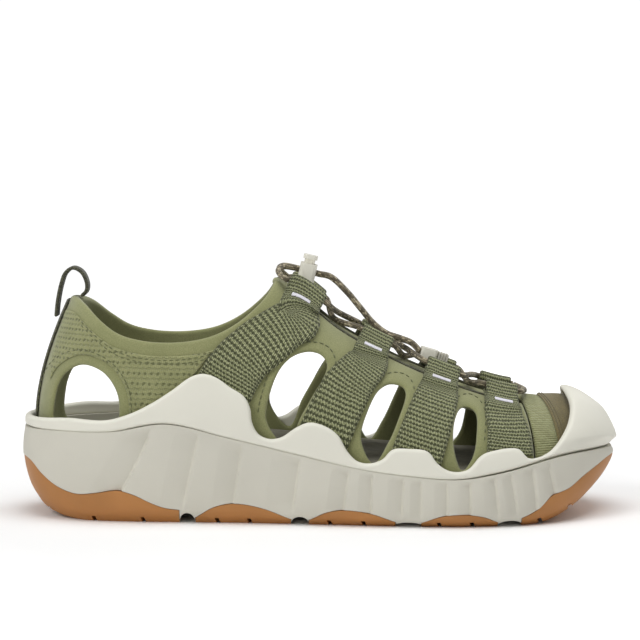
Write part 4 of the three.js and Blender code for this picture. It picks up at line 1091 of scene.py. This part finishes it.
class SANDAL_OT_sole(bpy.types.Operator):
    """Build the creased foam midsole and the gum outsole pods with their tread"""
    bl_idname = "sandal.sole"
    bl_label = "Sole"

    def execute(self, context):
        c, s = colours(), sizes()
        foam = moulded_finish("midsole foam", c.foam, tint(c.foam, 0.86), 0.6, grain=1500.0, depth=0.05)
        gum = moulded_finish("gum rubber", c.gum, tint(c.gum, 0.72), 0.5, grain=1800.0, depth=0.04,
                             mottle=0.5)
        room_thin = build("room thin", [stack_part(room_rings(0))])
        room_pods = build("room pods", [stack_part(room_rings(FOAM_OVER_PODS))])
        room_foam = build("room foam", [stack_part(room_rings(FOAM_OVER_PODS - CLEARANCE))])
        levels = np.r_[0, 0.03, 0.07, np.linspace(0.12, 0.97, 30), 0.99, 1]
        midsole = build("foam_midsole", [stack_part(sole_rings(0, levels, s.flute_depth / MM))])
        combine(midsole, "DIFFERENCE", room_thin)
        for name, outline in PODS.items():
            prism = build("prism", [across_part(pod_outline(outline, CLEARANCE))])
            combine(prism, "DIFFERENCE", room_foam)
            combine(midsole, "DIFFERENCE", prism)
            pod = build(f"gum_{name[8:]}", [stack_part(sole_rings(-OUTSOLE_SETBACK, levels))])
            core = build("core", [across_part(pod_outline(outline, 0))])
            combine(pod, "INTERSECT", core)
            combine(pod, "DIFFERENCE", room_pods)
            for part in tread_parts(name, s.tread_pitch / MM, s.tread_depth / MM):
                groove = build("groove", [part])
                combine(pod, "DIFFERENCE", groove)
                discard(groove)
            crisp(pod)
            place(pod, gum, "root", "gum", name)
            discard(prism, core)
        for low, high, top in GROOVES:
            gap = ((low, -5), (high, -5), (high, CHANNEL_SLOT), (low, CHANNEL_SLOT))
            whole = build("channel", [across_part(gap)])
            combine(midsole, "DIFFERENCE", whole)
            discard(whole)
            middle, half, rise = (low + high) / 2, (high - low) / 2, CHANNEL_SHARE * top
            arch = [(middle + half * math.cos(k), 1 + (rise - 1) * math.sin(k))
                    for k in np.linspace(0, math.pi, 13)]
            for side, _ in SIDES:
                points, faces, plan = across_part([(low, -5), (high, -5), *arch])
                points[:, 1] = side * np.where(points[:, 1] < 0, CHANNEL_INNER, 90)
                channel = build("channel", [(points, faces, plan)])
                combine(midsole, "DIFFERENCE", channel)
                discard(channel)
        crisp(midsole, 40)
        place(midsole, foam, "root", "foam", "midsole")
        discard(room_thin, room_pods, room_foam)
        return {"FINISHED"}


class SANDAL_OT_rand(bpy.types.Operator):
    """Build the moulded rand that wraps the upper and closes over the toes"""
    bl_idname = "sandal.rand"
    bl_label = "Rand and toe cap"

    def execute(self, context):
        c = colours()
        above = region_beyond(RAND_TOP, ((117, 170), (-156, 170)))
        rubber = moulded_finish("rand rubber", c.rand, tint(c.rand, 0.88), 0.52, grain=2400.0, depth=0.03)
        halves = []
        rows = np.linspace(0, 1, 420)
        for side, _ in SIDES:
            seams = rib_at_height(side, rows, lambda x: seam_height(x) + CLEARANCE)

            def at(u, w, lift, side=side, seams=seams):
                seam = np.interp(u, rows, seams)
                v = lerp(seam, 1.0, w**1.5)
                inner_share = (lift - RAND_INNER) / RAND_EDGE
                bumper = TOE_BUMPER * smooth(u, 0.8, 0.93) * (1 - smooth(v, 0.5, 1.1))
                rise = np.clip((v - seam) / (0.3 - seam), 0, 1)
                outer = lerp(RAND_FOOT, RAND_EDGE, smooth(v - seam, 0, 0.35))
                outer = outer + bumper * rise**2 * (3 - 2 * rise)
                point = on_form(side, u, v, RAND_INNER + inner_share * outer)
                foot = seam_height(point[..., 0]) + 1.5 * CLEARANCE
                point[..., 2] = np.where(w < 1e-6, foot, point[..., 2])
                return point

            halves.append(shell(at, rows, np.linspace(0, 1, 90), RAND_INNER, RAND_INNER + RAND_EDGE,
                                keep=lambda p: -signed_distance(seen(p), above), edge=1.9, thin=0.1,
                                open_borders=(1, 1, 0, 1)))
        rand = build("moulded_rand", halves, weld=0.004)
        crisp(rand, 50)
        place(rand, rubber, "root", "rand", "rand")
        return {"FINISHED"}


class SANDAL_OT_footbed(bpy.types.Operator):
    """Build the cloth-topped footbed and finish the lasting board under it"""
    bl_idname = "sandal.footbed"
    bl_label = "Footbed"

    def execute(self, context):
        c = colours()
        cloth = yarn_finish("footbed cloth", c.footbed, tint(c.footbed, 0.6), tint(c.footbed, 1.3), 5.5, 2.6,
                            0.35, contrast=0.6, sheen=0.1, waver=0.1)
        rows, columns = np.linspace(0.004, 0.996, 300), np.linspace(-1, 1, 100)

        def at(u, w, lift):
            edges = []
            for side, _ in SIDES:
                line = rib_at_height(side, rows, lambda x: bed_height(x) - 0.4 * FOOTBED_THICKNESS)
                points = on_form(side, rows, line, np.full_like(rows, -2.0 * CLEARANCE))
                edges.append(np.stack([np.interp(u, rows, points[:, k]) for k in range(3)], -1))
            point = lerp(edges[0], edges[1], ((w + 1) / 2)[..., None])
            point[..., 2] = bed_height(point[..., 0]) + lift - FOOTBED_THICKNESS
            return point

        part = shell(at, rows, columns, 0.3, FOOTBED_THICKNESS - 0.3, edge=2.2, thin=0.3,
                     chart=lambda u, w: np.stack([u * 280, w * 45], -1))
        footbed = place(build("cloth_footbed", [part]), cloth, "root", "footbed", "footbed")
        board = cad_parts["lasting_board"]
        board.data.materials.clear()
        board.data.materials.append(felt_finish("board fibre", tint(c.footbed, 0.7), tint(c.footbed, 0.5)))
        return {"FINISHED"}


# ---------------------------------------------------------------- upper


def throat_edge(u):
    return lerp(1.0, THROAT_EDGE, smooth(u, ANKLE_RIBS - 0.02, INSTEP_RIBS - 0.04))


def cloth_plan(u, v):
    """Millimetres along and up the upper, for its knit."""
    return np.stack([u * 310, v * 95], -1)


class SANDAL_OT_quarters(bpy.types.Operator):
    """Build the padded quarters with their windows, knit panels, throat bindings and stitches"""
    bl_idname = "sandal.quarters"
    bl_label = "Quarters"

    def execute(self, context):
        c, s = colours(), sizes()
        knit = felt_finish("smooth knit", c.knit, c.knit_shade)
        dimpled = row_finish("dimpled knit", c.knit, c.knit_shade, c.knit_light, 2.6, 2.5, 0.4, 0.8)
        tape = yarn_finish("binding tape", c.tape, tint(c.tape, 0.6), tint(c.tape, 1.6), 1.0, 0.8, 0.15)
        thread = felt_finish("sewing thread", tint(c.knit_shade, 0.75), tint(c.knit_shade, 0.5), depth=0.05)
        windows = [closed_outline(points) for points in (HEEL_HOLE, *SIDE_WINDOWS)]
        above = region_beyond(TOPLINE, ((-21, 160), (-150, 160)))
        panel = closed_outline(PANEL_REACH, 200)
        pitch, radius = s.stitch_pitch / MM, s.thread_radius / MM
        for side, name in SIDES:
            def at(u, w, lift, side=side):
                point = on_form(side, u, w * throat_edge(u), lift)
                point[..., 2] = np.where(w < 1e-6, board_base(point[..., 0]), point[..., 2])
                return point

            def keep(p):
                xz = seen(p)
                holes = [-signed_distance(xz, outline) for outline in windows]
                return np.minimum.reduce([*holes, -signed_distance(xz, above)])

            def pad(u, w):
                return -HEEL_PAD * (1 - smooth(u, 0.02, 0.16)) * smooth(w * throat_edge(u), 0.55, 0.8)

            first = CLEARANCE / 2 / 277
            body = shell(at, np.linspace(first, QUARTER_FRONT, 330), np.linspace(0, 1, 130), pad,
                         QUARTER_THICKNESS, keep, edge=2.0, thin=0.12, open_borders=(0, 0, 0, 0),
                         chart=cloth_plan)
            quarter = place(build(f"knit_quarter_{name}", [body]), knit, "root", "knit", f"quarter_{name}")
            low = QUARTER_THICKNESS + 0.05

            def on_side(u, v, lift, side=side):
                return on_form(side, u, v, lift)

            mesh = shell(on_side, np.linspace(0.015, 0.4, 230), np.linspace(0.1, 0.97, 110), low,
                         low + MESH_THICKNESS + 0.2,
                         lambda p: np.minimum.reduce([
                             signed_distance(seen(p), panel), -signed_distance(seen(p), above) - COLLAR_BAND,
                             -signed_distance(seen(p), windows[0]) - MESH_HOLE_BAND]),
                         edge=1.0, chart=cloth_plan)
            place(build(f"dimpled_panel_{name}", [mesh]), dimpled, "root", "mesh", f"heel_mesh_{name}")

            def throat(u, w, lift, side=side):
                return on_form(side, u, throat_edge(u) + lerp(0.004, BINDING_REACH, w), lift)

            band = shell(throat, np.linspace(INSTEP_RIBS - 0.05, QUARTER_FRONT - 0.005, 160),
                         np.linspace(0, 1, 12), 0.1, QUARTER_THICKNESS - 0.1, edge=0.9, thin=0.3,
                         chart=lambda u, w: np.stack([u * 310, w * 3], -1))
            place(build(f"edge_tape_{name}", [band]), tape, "root", "dark", f"throat_binding_{name}")
            lift = QUARTER_THICKNESS + 0.15
            heel_ring = widened(windows[0], MESH_HOLE_BAND + 1.6)
            seams = [stitch_run(side, heel_ring[heel_ring[:, 1] > 50], low + MESH_THICKNESS + 0.2, pitch,
                                radius)]
            seams += [stitch_run(side, ring[ring[:, 1] > seam_height(ring[:, 0]) + 14], lift, pitch, radius)
                      for ring in (widened(window, 3.6) for window in windows[1:])]
            collar = Curve(TOPLINE[2:-2]).spaced(80)
            for drop in (COLLAR_BAND + 2.4, COLLAR_BAND + 4.2):
                seams.append(stitch_run(side, collar - np.array([0, drop]), low + MESH_THICKNESS + 0.1, pitch,
                                        radius))
            place(build(f"seams_{name}", seams), thread, "root", "knit")
        return {"FINISHED"}


def saddle_at(edge):
    """Places a sheet over the instep; w runs from the lateral to the medial edge."""
    def at(u, w, lift):
        side = np.where(w < 0, float(LATERAL), float(MEDIAL))
        v = lerp(1.0, edge(side, u), np.abs(w))
        return on_form(side, u, v, lift)
    return at


class SANDAL_OT_vamp(bpy.types.Operator):
    """Build the knit vamp and the woven overlay behind the toe cap"""
    bl_idname = "sandal.vamp"
    bl_label = "Vamp and toe overlay"

    def execute(self, context):
        c, s = colours(), sizes()
        knit = yarn_finish("vamp knit", c.knit, c.knit_shade, c.knit_light, 2.4, 1.9, 0.35, contrast=0.35)
        woven = yarn_finish("overlay cloth", c.overlay, tint(c.overlay, 0.6), tint(c.overlay, 1.35), 0.9, 0.9,
                            0.12, contrast=0.6)
        at = saddle_at(lambda side, u: np.full_like(u, 0.03))
        vamp = shell(at, np.linspace(QUARTER_FRONT + 0.003, 0.955, 90), np.linspace(-1, 1, 150), 0.05,
                     VAMP_THICKNESS, edge=1.2, chart=lambda u, w: np.stack([u * 310, w * 90], -1))
        place(build("knit_vamp", [vamp]), knit, "root", "mesh", "vamp")
        rows = np.linspace(OVERLAY_BACK, 0.95, 70)
        feet = {side: rib_at_height(side, rows, lambda x: seam_height(x) + 1) for side, _ in SIDES}

        def foot(side, u):
            return np.where(side < 0, np.interp(u, rows, feet[LATERAL]), np.interp(u, rows, feet[MEDIAL]))

        low = VAMP_THICKNESS + 0.1
        cover = saddle_at(foot)
        overlay = shell(cover, rows, np.linspace(-1, 1, 150), low, low + OVERLAY_THICKNESS, edge=0.7,
                        chart=lambda u, w: np.stack([u * 310, w * 90], -1))
        place(build("woven_overlay", [overlay]), woven, "root", "olive", "toe_overlay")
        w = np.linspace(-0.97, 0.97, 64)
        seams = []
        for inset in (0.006, 0.013):
            u = np.full_like(w, OVERLAY_BACK + inset)
            points = cover(u, w, np.full_like(w, low + OVERLAY_THICKNESS + 0.05))
            side = np.where(w < 0, float(LATERAL), float(MEDIAL))
            normals = form_normal(side, u, lerp(1.0, foot(side, u), np.abs(w)))
            ways = unit(np.gradient(points, axis=0))
            seams.append(threads(points, ways, normals, 2.1, s.thread_radius / MM * 0.9))
        thread = felt_finish("overlay thread", tint(c.overlay, 0.7), tint(c.overlay, 0.4), depth=0.05)
        place(build("overlay_seams", seams), thread, "root", "olive")
        return {"FINISHED"}


class SANDAL_OT_tongue(bpy.types.Operator):
    """Build the padded tongue"""
    bl_idname = "sandal.tongue"
    bl_label = "Tongue"

    def execute(self, context):
        c = colours()
        knit = yarn_finish("tongue knit", c.knit, c.knit_shade, c.knit_light, 1.5, 1.2, 0.15, contrast=0.3)
        at = saddle_at(lambda side, u: np.full_like(u, 0.62))
        top = -1.5 * CLEARANCE
        part = shell(at, np.linspace(0.45, QUARTER_FRONT - 0.002, 230), np.linspace(-1, 1, 80),
                     top - TONGUE_THICKNESS, top, edge=2.4, thin=0.15,
                     chart=lambda u, w: np.stack([u * 310, w * 38], -1))
        tongue = place(build("padded_tongue", [part]), knit, "root", "tongue", "tongue")
        return {"FINISHED"}


LOOP_LINE = ((-133.1, 98.5), (-132.3, 106), (-130.4, 115), (-128.2, 120.5), (-124.5, 123), (-120.2, 121),
             (-117.6, 115.6), (-117.8, 111.5), (-120.4, 108.7))


class SANDAL_OT_heel(bpy.types.Operator):
    """Build the heel tape and the pull loop"""
    bl_idname = "sandal.heel"
    bl_label = "Heel tape and pull loop"

    def execute(self, context):
        c = colours()
        tape = yarn_finish("woven tape", c.tape, tint(c.tape, 0.55), tint(c.tape, 1.7), 1.1, 0.9, 0.18)
        half = TAPE_WIDTH / 2 / TAPE_RIB_SPAN
        foot = rib_at_height(MEDIAL, np.array([0.0]), lambda x: seam_height(x) + 1)[0]
        top = rib_at_height(MEDIAL, np.array([0.0]), lambda x: np.full_like(x, float(TAPE_TOP)))[0]
        low = QUARTER_THICKNESS + CLEARANCE

        def at(u, v, lift):
            return on_form(float(MEDIAL), u, v, lift)

        strip = shell(at, np.linspace(-half, half, 30), np.linspace(foot, top, 110), low,
                      low + TAPE_THICKNESS, edge=0.8, thin=0.3,
                      chart=lambda u, v: np.stack([u * 220, v * 90], -1))
        place(build("heel_strip", [strip]), tape, "root", "dark", "heel_tape")
        line = Curve([(x, 0, z) for x, z in LOOP_LINE])
        fine = line.spaced(240)
        ways = unit(np.gradient(fine, axis=0))
        run = np.linspace(0, 1, len(fine))

        def bent(t, w, lift):
            centre = np.stack([np.interp(t, run, fine[:, k]) for k in range(3)], -1)
            way = np.stack([np.interp(t, run, ways[:, k]) for k in range(3)], -1)
            normal = np.stack([-way[..., 2], np.zeros_like(t), way[..., 0]], -1)
            point = centre + normal * np.asarray(lift)[..., None]
            point[..., 1] = w * LOOP_WIDTH
            return point

        part = shell(bent, run[::2], np.linspace(-0.5, 0.5, 16), -LOOP_THICKNESS / 2, LOOP_THICKNESS / 2,
                     edge=0.8, thin=0.3, chart=lambda t, w: np.stack([w * LOOP_WIDTH, t * 62], -1))
        loop = place(build("woven_pull_loop", [part]), tape, None, "dark", "pull_loop")
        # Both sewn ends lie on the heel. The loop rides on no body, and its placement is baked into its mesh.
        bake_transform(loop)
        return {"FINISHED"}


# ---------------------------------------------------------------- straps

STRAPS = (((-49, 62), (-36, 82), -11, 0.77), ((1, 40), (12, 64), 25, 0.78), ((46, 31), (52, 48), 59, 0.78),
          ((92, 33), (91.8, 42), 89, 0.78))


def strap_line(side, index):
    """Places points along, across and above one strap, and gives its length."""
    foot, middle, head, reach = STRAPS[index]
    side = float(side)
    rib = rib_at_x(side, reach, head)
    along = unit(form_point(side, rib + 1e-3, reach) - form_point(side, rib - 1e-3, reach))
    down = np.cross(along, form_normal(side, rib, reach)) * -side
    neck = [move_on_form(side, rib, reach, down, drop) for drop in (STRAP_NECK, STRAP_NECK / 2)]
    places = [locate(side, *foot), locate(side, *middle), *neck, (rib, reach)]
    line = Curve([(float(u), float(v), 0.0) for u, v in places])
    samples = line.spaced(25)
    length = np.linalg.norm(np.diff(form_point(side, samples[:, 0], samples[:, 1]), axis=0), axis=1).sum()

    def at(distance, offset, lift):
        distance, offset, lift = (np.array(k, float) for k in np.broadcast_arrays(distance, offset, lift))
        reached = np.clip(distance, 0.5, length - STRAP_STRAIGHT)
        below, above = (line.at(np.clip(d / length, 0, 1)) for d in (reached - 0.5, reached))
        up = unit(form_point(side, above[..., 0], above[..., 1])
                  - form_point(side, below[..., 0], below[..., 1]))
        toes = np.cross(up, form_normal(side, above[..., 0], above[..., 1])) * -side
        u, v = move_on_form(side, above[..., 0], above[..., 1], toes, offset)
        normal = form_normal(side, u, v)
        straight = unit(up - normal * np.sum(up * normal, -1, keepdims=True))
        return form_point(side, u, v) + normal * lift[..., None] + straight * (distance - reached)[..., None]

    return at, length


def strap_section(length):
    fold_end = length - STRAP_RETURN
    section = [(t * (fold_end - 4), STRAP_LOW) for t in (0, 0.2, 0.4, 0.6, 0.8, 1)]
    section += [(fold_end - 0.5, STRAP_HIGH), (length - 10, STRAP_HIGH),
                (length - 5, lerp(STRAP_HIGH, EYE_LIFT + EYE_RADIUS, 0.45))]
    for angle in np.radians(np.arange(100, -90.1, -27.1)):
        section.append((length + EYE_RADIUS * math.cos(angle), EYE_LIFT + EYE_RADIUS * math.sin(angle)))
    return section + [(length - 8, STRAP_LOW), (fold_end + 1.2, STRAP_LOW)]


def strap_width(index, distance, length):
    return lerp(STRAP_FOOT_WIDTHS[index], STRAP_HEAD_WIDTHS[index], smooth(distance / length, 0, 0.9))


class SANDAL_OT_straps(bpy.types.Operator):
    """Build the webbing straps, folded round the lace, with their bar tacks"""
    bl_idname = "sandal.straps"
    bl_label = "Straps and bar tacks"

    def execute(self, context):
        c, s = colours(), sizes()
        rib = s.rib_pitch / MM
        webbing = webbing_finish("melange webbing", c.webbing, c.webbing_dark, c.webbing_light, 10.2)
        tack = felt_finish("tack thread", c.tack, tint(c.tack, 0.8), depth=0.04)
        for side, name in SIDES:
            for index in range(len(STRAPS)):
                at, length = strap_line(side, index)
                section = Curve([(d, h, 0.0) for d, h in strap_section(length)]).spaced(400)
                run = np.linspace(0, 1, len(section))
                whole = np.linalg.norm(np.diff(section, axis=0), axis=1).sum()
                ways = unit(np.gradient(section, axis=0))

                def bent(t, w, lift, at=at, section=section, run=run, ways=ways, length=length, index=index):
                    d, h, du, dv = (np.interp(t, run, k) for k in (*section.T[:2], *ways.T[:2]))
                    width = strap_width(index, d, length)
                    return at(d - dv * lift, w * width, h + du * lift)

                def count_rows(t, whole=whole, rib=rib):
                    """Woven rows up to a place: close at the foot, coarser towards the head."""
                    close = np.minimum(t, 0.42) * whole / (0.72 * rib)
                    return close + np.maximum(t - 0.42, 0) * whole / rib

                def ribs(t, w, d, count_rows=count_rows):
                    return 0.1 * np.abs(np.sin(count_rows(t) * math.pi)) * np.clip(d / 1.5, 0, 1)

                part = shell(bent, np.linspace(0, 1, s.strap_rows), np.linspace(-0.5, 0.5, 26),
                             -STRAP_THICKNESS / 2, STRAP_THICKNESS / 2, edge=0.7, thin=0.35, relief=ribs,
                             chart=lambda t, w, rows=count_rows: np.stack([w * 24, rows(t)], -1))
                place(build(f"webbing_strap_{name}_{index + 1}", [part]), webbing, "root", "webbing",
                      f"strap_{name}_{index + 1}")
                middle = length - STRAP_RETURN + 5
                offsets = np.linspace(-TACK_WIDTH / 2, TACK_WIDTH / 2, 19)
                lift = STRAP_HIGH + STRAP_THICKNESS / 2 + 0.22
                points = at(np.full(19, middle), offsets, np.full(19, lift))
                ahead = at(np.full(19, middle + 0.5), offsets, np.full(19, lift))
                above = at(np.full(19, middle), offsets, np.full(19, lift + 0.5))
                grains = threads(points, unit(ahead - points), unit(above - points), TACK_DEPTH + 0.5, 0.36)
                place(build(f"tack_{name}_{index + 1}", [grains]), tack, "root", "tack",
                      f"bar_tack_{name}_{index + 1}")
        return {"FINISHED"}


# ---------------------------------------------------------------- laces and hardware

TAIL_ROUTE = ((-19.2, -16.6, 119.6), (-20.8, -11.5, 122.2), (-17.8, -5, 123.8), (-12, -1.85, 122.8),
              (-6.3, -1.85, 121.3), (-0.5, -1.85, 119.85), (5.3, -1.85, 118.4), (13.6, -2, 110.8),
              (20.6, -2.2, 102.4), (27, -2.6, 94.8), (33.5, -3, 89.8), (40.5, -3, 87.4), (46.2, -3.1, 85.2),
              (50.5, -3.1, 81))


def tail_points(side):
    """The free tail of one strand, through the lock to the end clip."""
    points = []
    for i, (x, y, z) in enumerate(TAIL_ROUTE):
        near_clip = i - len(TAIL_ROUTE) + 5
        offset = CLIP_AT_Y + side * STRAND_PITCH / 2
        points.append((x, lerp(-y * side, offset, near_clip / 4) if near_clip >= 0 else -y * side, z))
    return points


def through_eye(side, index):
    at, length = strap_line(side, index)
    half = STRAP_HEAD_WIDTHS[index] / 2
    offsets = np.array([half + EYE_LEAD, half, half / 3, -half / 3, -half, -half - EYE_LEAD])
    return at(np.full(6, length), offsets, np.full(6, EYE_LIFT))


def strand_points(first_side, lift, lead):
    """One strand: from the front it passes the eyes on alternate sides, back to the first strap."""
    heads = [rib_at_x(LATERAL, 1.0, strap[2]) for strap in STRAPS]
    points = list(lead)
    for index in reversed(range(len(STRAPS))):
        points += list(through_eye(first_side if index % 2 else -first_side, index))
        if index:
            points.append(on_form(float(LATERAL), (heads[index] + heads[index - 1]) / 2, 1.0, lift))
    return points


def front_bridge():
    start, end = through_eye(MEDIAL, len(STRAPS) - 1)[0], through_eye(LATERAL, len(STRAPS) - 1)[0]
    lift = QUARTER_THICKNESS + CLEARANCE + LACE_DIAMETER / 2
    middle = on_form(float(LATERAL), rib_at_x(LATERAL, 1.0, 103), 1.0, lift)
    start = lerp(start, middle, (LACE_DIAMETER + CLEARANCE) / np.linalg.norm(start - middle))
    return [start, middle * np.array([1, 0.9, 1]) + np.array([0, 0.1 * end[1], 0])]


class SANDAL_OT_laces(bpy.types.Operator):
    """Build the elastic laces and their free tails"""
    bl_idname = "sandal.laces"
    bl_label = "Laces"

    def execute(self, context):
        c = colours()
        braid = yarn_finish("braided elastic", c.lace, tint(c.lace, 0.5), c.lace_fleck, 1.5, 0.95, 0.22,
                            sheen=0.2, waver=0.3)
        strands = (("lateral", LATERAL, LACE_LOW, front_bridge()), ("medial", MEDIAL, LACE_HIGH, []))
        for name, side, lift, lead in strands:
            points = strand_points(side, lift, lead)
            exits = [np.array(tail_points(end)[0]) for end, _ in SIDES]
            points.append(min(exits, key=lambda tail: np.linalg.norm(tail - points[-1])))
            line = Curve(points).spaced(420)
            place(build(f"lace_{name}", [tube(line, LACE_DIAMETER / 2)], weld=0.001), braid, "root", "lace",
                  f"lace_strand_{name}")
        for side, name in SIDES:
            line = Curve(tail_points(side)).spaced(160)
            tail = build(f"tail_{name}", [tube(line, LACE_DIAMETER / 2)], weld=0.001)
            place(tail, braid, None, "lace", f"lace_tail_{name}")
            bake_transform(tail)
        return {"FINISHED"}


class SANDAL_OT_hardware(bpy.types.Operator):
    """Round the cord lock and end clip, give them their finishes, and build the lock's spring"""
    bl_idname = "sandal.hardware"
    bl_label = "Cord lock and end clip"

    def execute(self, context):
        c = colours()
        plastic = moulded_finish("satin plastic", c.plastic, tint(c.plastic, 0.9), 0.34, grain=3200.0,
                                 depth=0.012, coat=0.15)
        soft = moulded_finish("soft grip plastic", tint(c.plastic, 0.72), tint(c.plastic, 0.6), 0.55,
                              grain=2600.0)
        steel = moulded_finish("spring steel", (0.6, 0.6, 0.6), (0.4, 0.4, 0.4), 0.3, grain=4000.0,
                               depth=0.005)
        steel.node_tree.nodes["Principled BSDF"].inputs["Metallic"].default_value = 1.0
        finishes = (("cord_lock_body", plastic, 0.55), ("cord_lock_plunger", plastic, 0.35),
                    ("lace_clip", plastic, 0.8), ("lace_clip_grip", soft, 0.15))
        for name, material, round_off in finishes:
            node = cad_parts[name]
            node.data.materials.clear()
            node.data.materials.append(material)
            bevel = node.modifiers.new("rounded edges", "BEVEL")
            bevel.width = round_off * MM
            bevel.segments = 4
            bevel.limit_method = "ANGLE"
            bevel.angle_limit = math.radians(40)
        tilt = math.radians(LOCK_TILT)
        axis = np.array([math.sin(tilt), 0, math.cos(tilt)])
        across = np.array([math.cos(tilt), 0, -math.sin(tilt)])
        share = np.linspace(0, 1, 120)[:, None]
        turn = share * SPRING_TURNS * 2 * math.pi
        radius = lerp(*SPRING_RADII, share)
        coil = (np.array(LOCK_AT) + axis * lerp(*SPRING_ENDS, share) + across * radius * np.cos(turn)
                + np.array([0, 1, 0]) * radius * np.sin(turn))
        spring = build("coiled_spring", [tube(coil, SPRING_WIRE / 2, 8)], weld=0.001)
        place(spring, steel, "cord_lock", "steel", "cord_lock_spring")
        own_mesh(spring)
        return {"FINISHED"}


# ---------------------------------------------------------------- stage


def add_light(name, location, target, size, power):
    lamp = bpy.data.lights.new(name, "AREA")
    lamp.shape = "DISK"
    lamp.size = size
    lamp.energy = power
    thing = bpy.data.objects.new(name, lamp)
    thing.location = location
    thing.rotation_euler = (Vector(target) - Vector(location)).to_track_quat("-Z", "Y").to_euler()
    bpy.context.scene.collection.objects.link(thing)


class SANDAL_OT_stage(bpy.types.Operator):
    """Set up the camera, the pale floor and the soft lights"""
    bl_idname = "sandal.stage"
    bl_label = "Stage"

    def execute(self, context):
        scene, stage = context.scene, context.scene.sandal_stage
        lens = bpy.data.cameras.new("camera")
        lens.lens = stage.lens
        lens.sensor_width = 36
        camera = bpy.data.objects.new("camera", lens)
        camera.location = (OFFSET[0] * MM, -stage.distance + OFFSET[1] * MM, stage.height)
        camera.rotation_euler = (math.pi / 2 - stage.pitch, 0, 0)
        scene.collection.objects.link(camera)
        scene.camera = camera
        half = 1.15
        plane = bpy.data.meshes.new("floor")
        corners = [(-half, -half, 0), (half, -half, 0), (half, half, 0), (-half, half, 0)]
        plane.from_pydata(corners, [], [(0, 1, 2, 3)])
        floor = bpy.data.objects.new("floor", plane)
        scene.collection.objects.link(floor)
        finish = Finish("floor paper", 0.9)
        tone = noise(finish.tree, finish.vector("object"), 2.0)
        finish.colour = tint(stage.floor)
        finish.blend(finish.ramp(tone, 0.3, 0.8), tint(stage.floor, 0.98), 0.5)
        finish.shader.inputs["Emission Color"].default_value = (1, 1, 1, 1)
        seen_directly = finish.tree.nodes.new("ShaderNodeLightPath").outputs["Is Camera Ray"]
        away = finish.tree.nodes.new("ShaderNodeVectorMath")
        away.operation = "LENGTH"
        link(finish.tree, finish.vector("object"), away.inputs[0])
        far = finish.ramp(away.outputs["Value"], 0.17, 0.7)
        glow = math_node(finish.tree, "MULTIPLY", seen_directly, stage.glow)
        glow = math_node(finish.tree, "MULTIPLY", glow, far)
        link(finish.tree, glow, finish.shader.inputs["Emission Strength"])
        plane.materials.append(finish.done())
        world = bpy.data.worlds.new("studio")
        world.use_nodes = True
        tree = world.node_tree
        tree.nodes["Background"].inputs["Color"].default_value = (1, 1, 1, 1)
        seen_directly = tree.nodes.new("ShaderNodeLightPath").outputs["Is Camera Ray"]
        strength = math_node(tree, "MULTIPLY_ADD", seen_directly, 1.05 - stage.ambient, stage.ambient)
        link(tree, strength, tree.nodes["Background"].inputs["Strength"])
        scene.world = world
        scene.view_settings.view_transform = "Standard"
        middle = (0, 0, 0.05)
        add_light("overhead", (0.1, -0.15, 1.3), middle, 1.1, 10)
        add_light("key", (-0.9, -0.8, 0.9), middle, 0.6, 6.5)
        add_light("rim", (0.8, 0.8, 0.7), middle, 0.8, 3)
        return {"FINISHED"}


STEPS = (SANDAL_OT_stage, SANDAL_OT_laces, SANDAL_OT_sole, SANDAL_OT_rand, SANDAL_OT_footbed,
         SANDAL_OT_quarters, SANDAL_OT_vamp, SANDAL_OT_tongue, SANDAL_OT_heel, SANDAL_OT_straps,
         SANDAL_OT_hardware)


class SANDAL_PT_panel(bpy.types.Panel):
    """Lists the steps that build the sandal"""
    bl_idname = "SANDAL_PT_panel"
    bl_label = "Sandal"
    bl_space_type = "VIEW_3D"
    bl_region_type = "UI"
    bl_category = "Sandal"

    def draw(self, context):
        for step in STEPS:
            self.layout.operator(step.bl_idname)
        scene = context.scene
        for settings in (scene.sandal_sizes, scene.sandal_colours, scene.sandal_stage):
            box = self.layout.box()
            for name in settings.__annotations__:
                box.prop(settings, name)


CLASSES = (SandalColours, SandalSizes, SandalStage, *STEPS, SANDAL_PT_panel)


def register():
    for each in CLASSES:
        bpy.utils.register_class(each)
    bpy.types.Scene.sandal_colours = PointerProperty(type=SandalColours)
    bpy.types.Scene.sandal_sizes = PointerProperty(type=SandalSizes)
    bpy.types.Scene.sandal_stage = PointerProperty(type=SandalStage)


def unregister():
    del bpy.types.Scene.sandal_stage
    del bpy.types.Scene.sandal_sizes
    del bpy.types.Scene.sandal_colours
    for each in reversed(CLASSES):
        bpy.utils.unregister_class(each)


def main():
    register()
    make_cell_group()
    make_row_group()
    make_grain_group()
    for step in STEPS:
        group, name = step.bl_idname.split(".")
        getattr(getattr(bpy.ops, group), name)()
    bpy.context.view_layer.update()


if __name__ == "__main__":
    main()
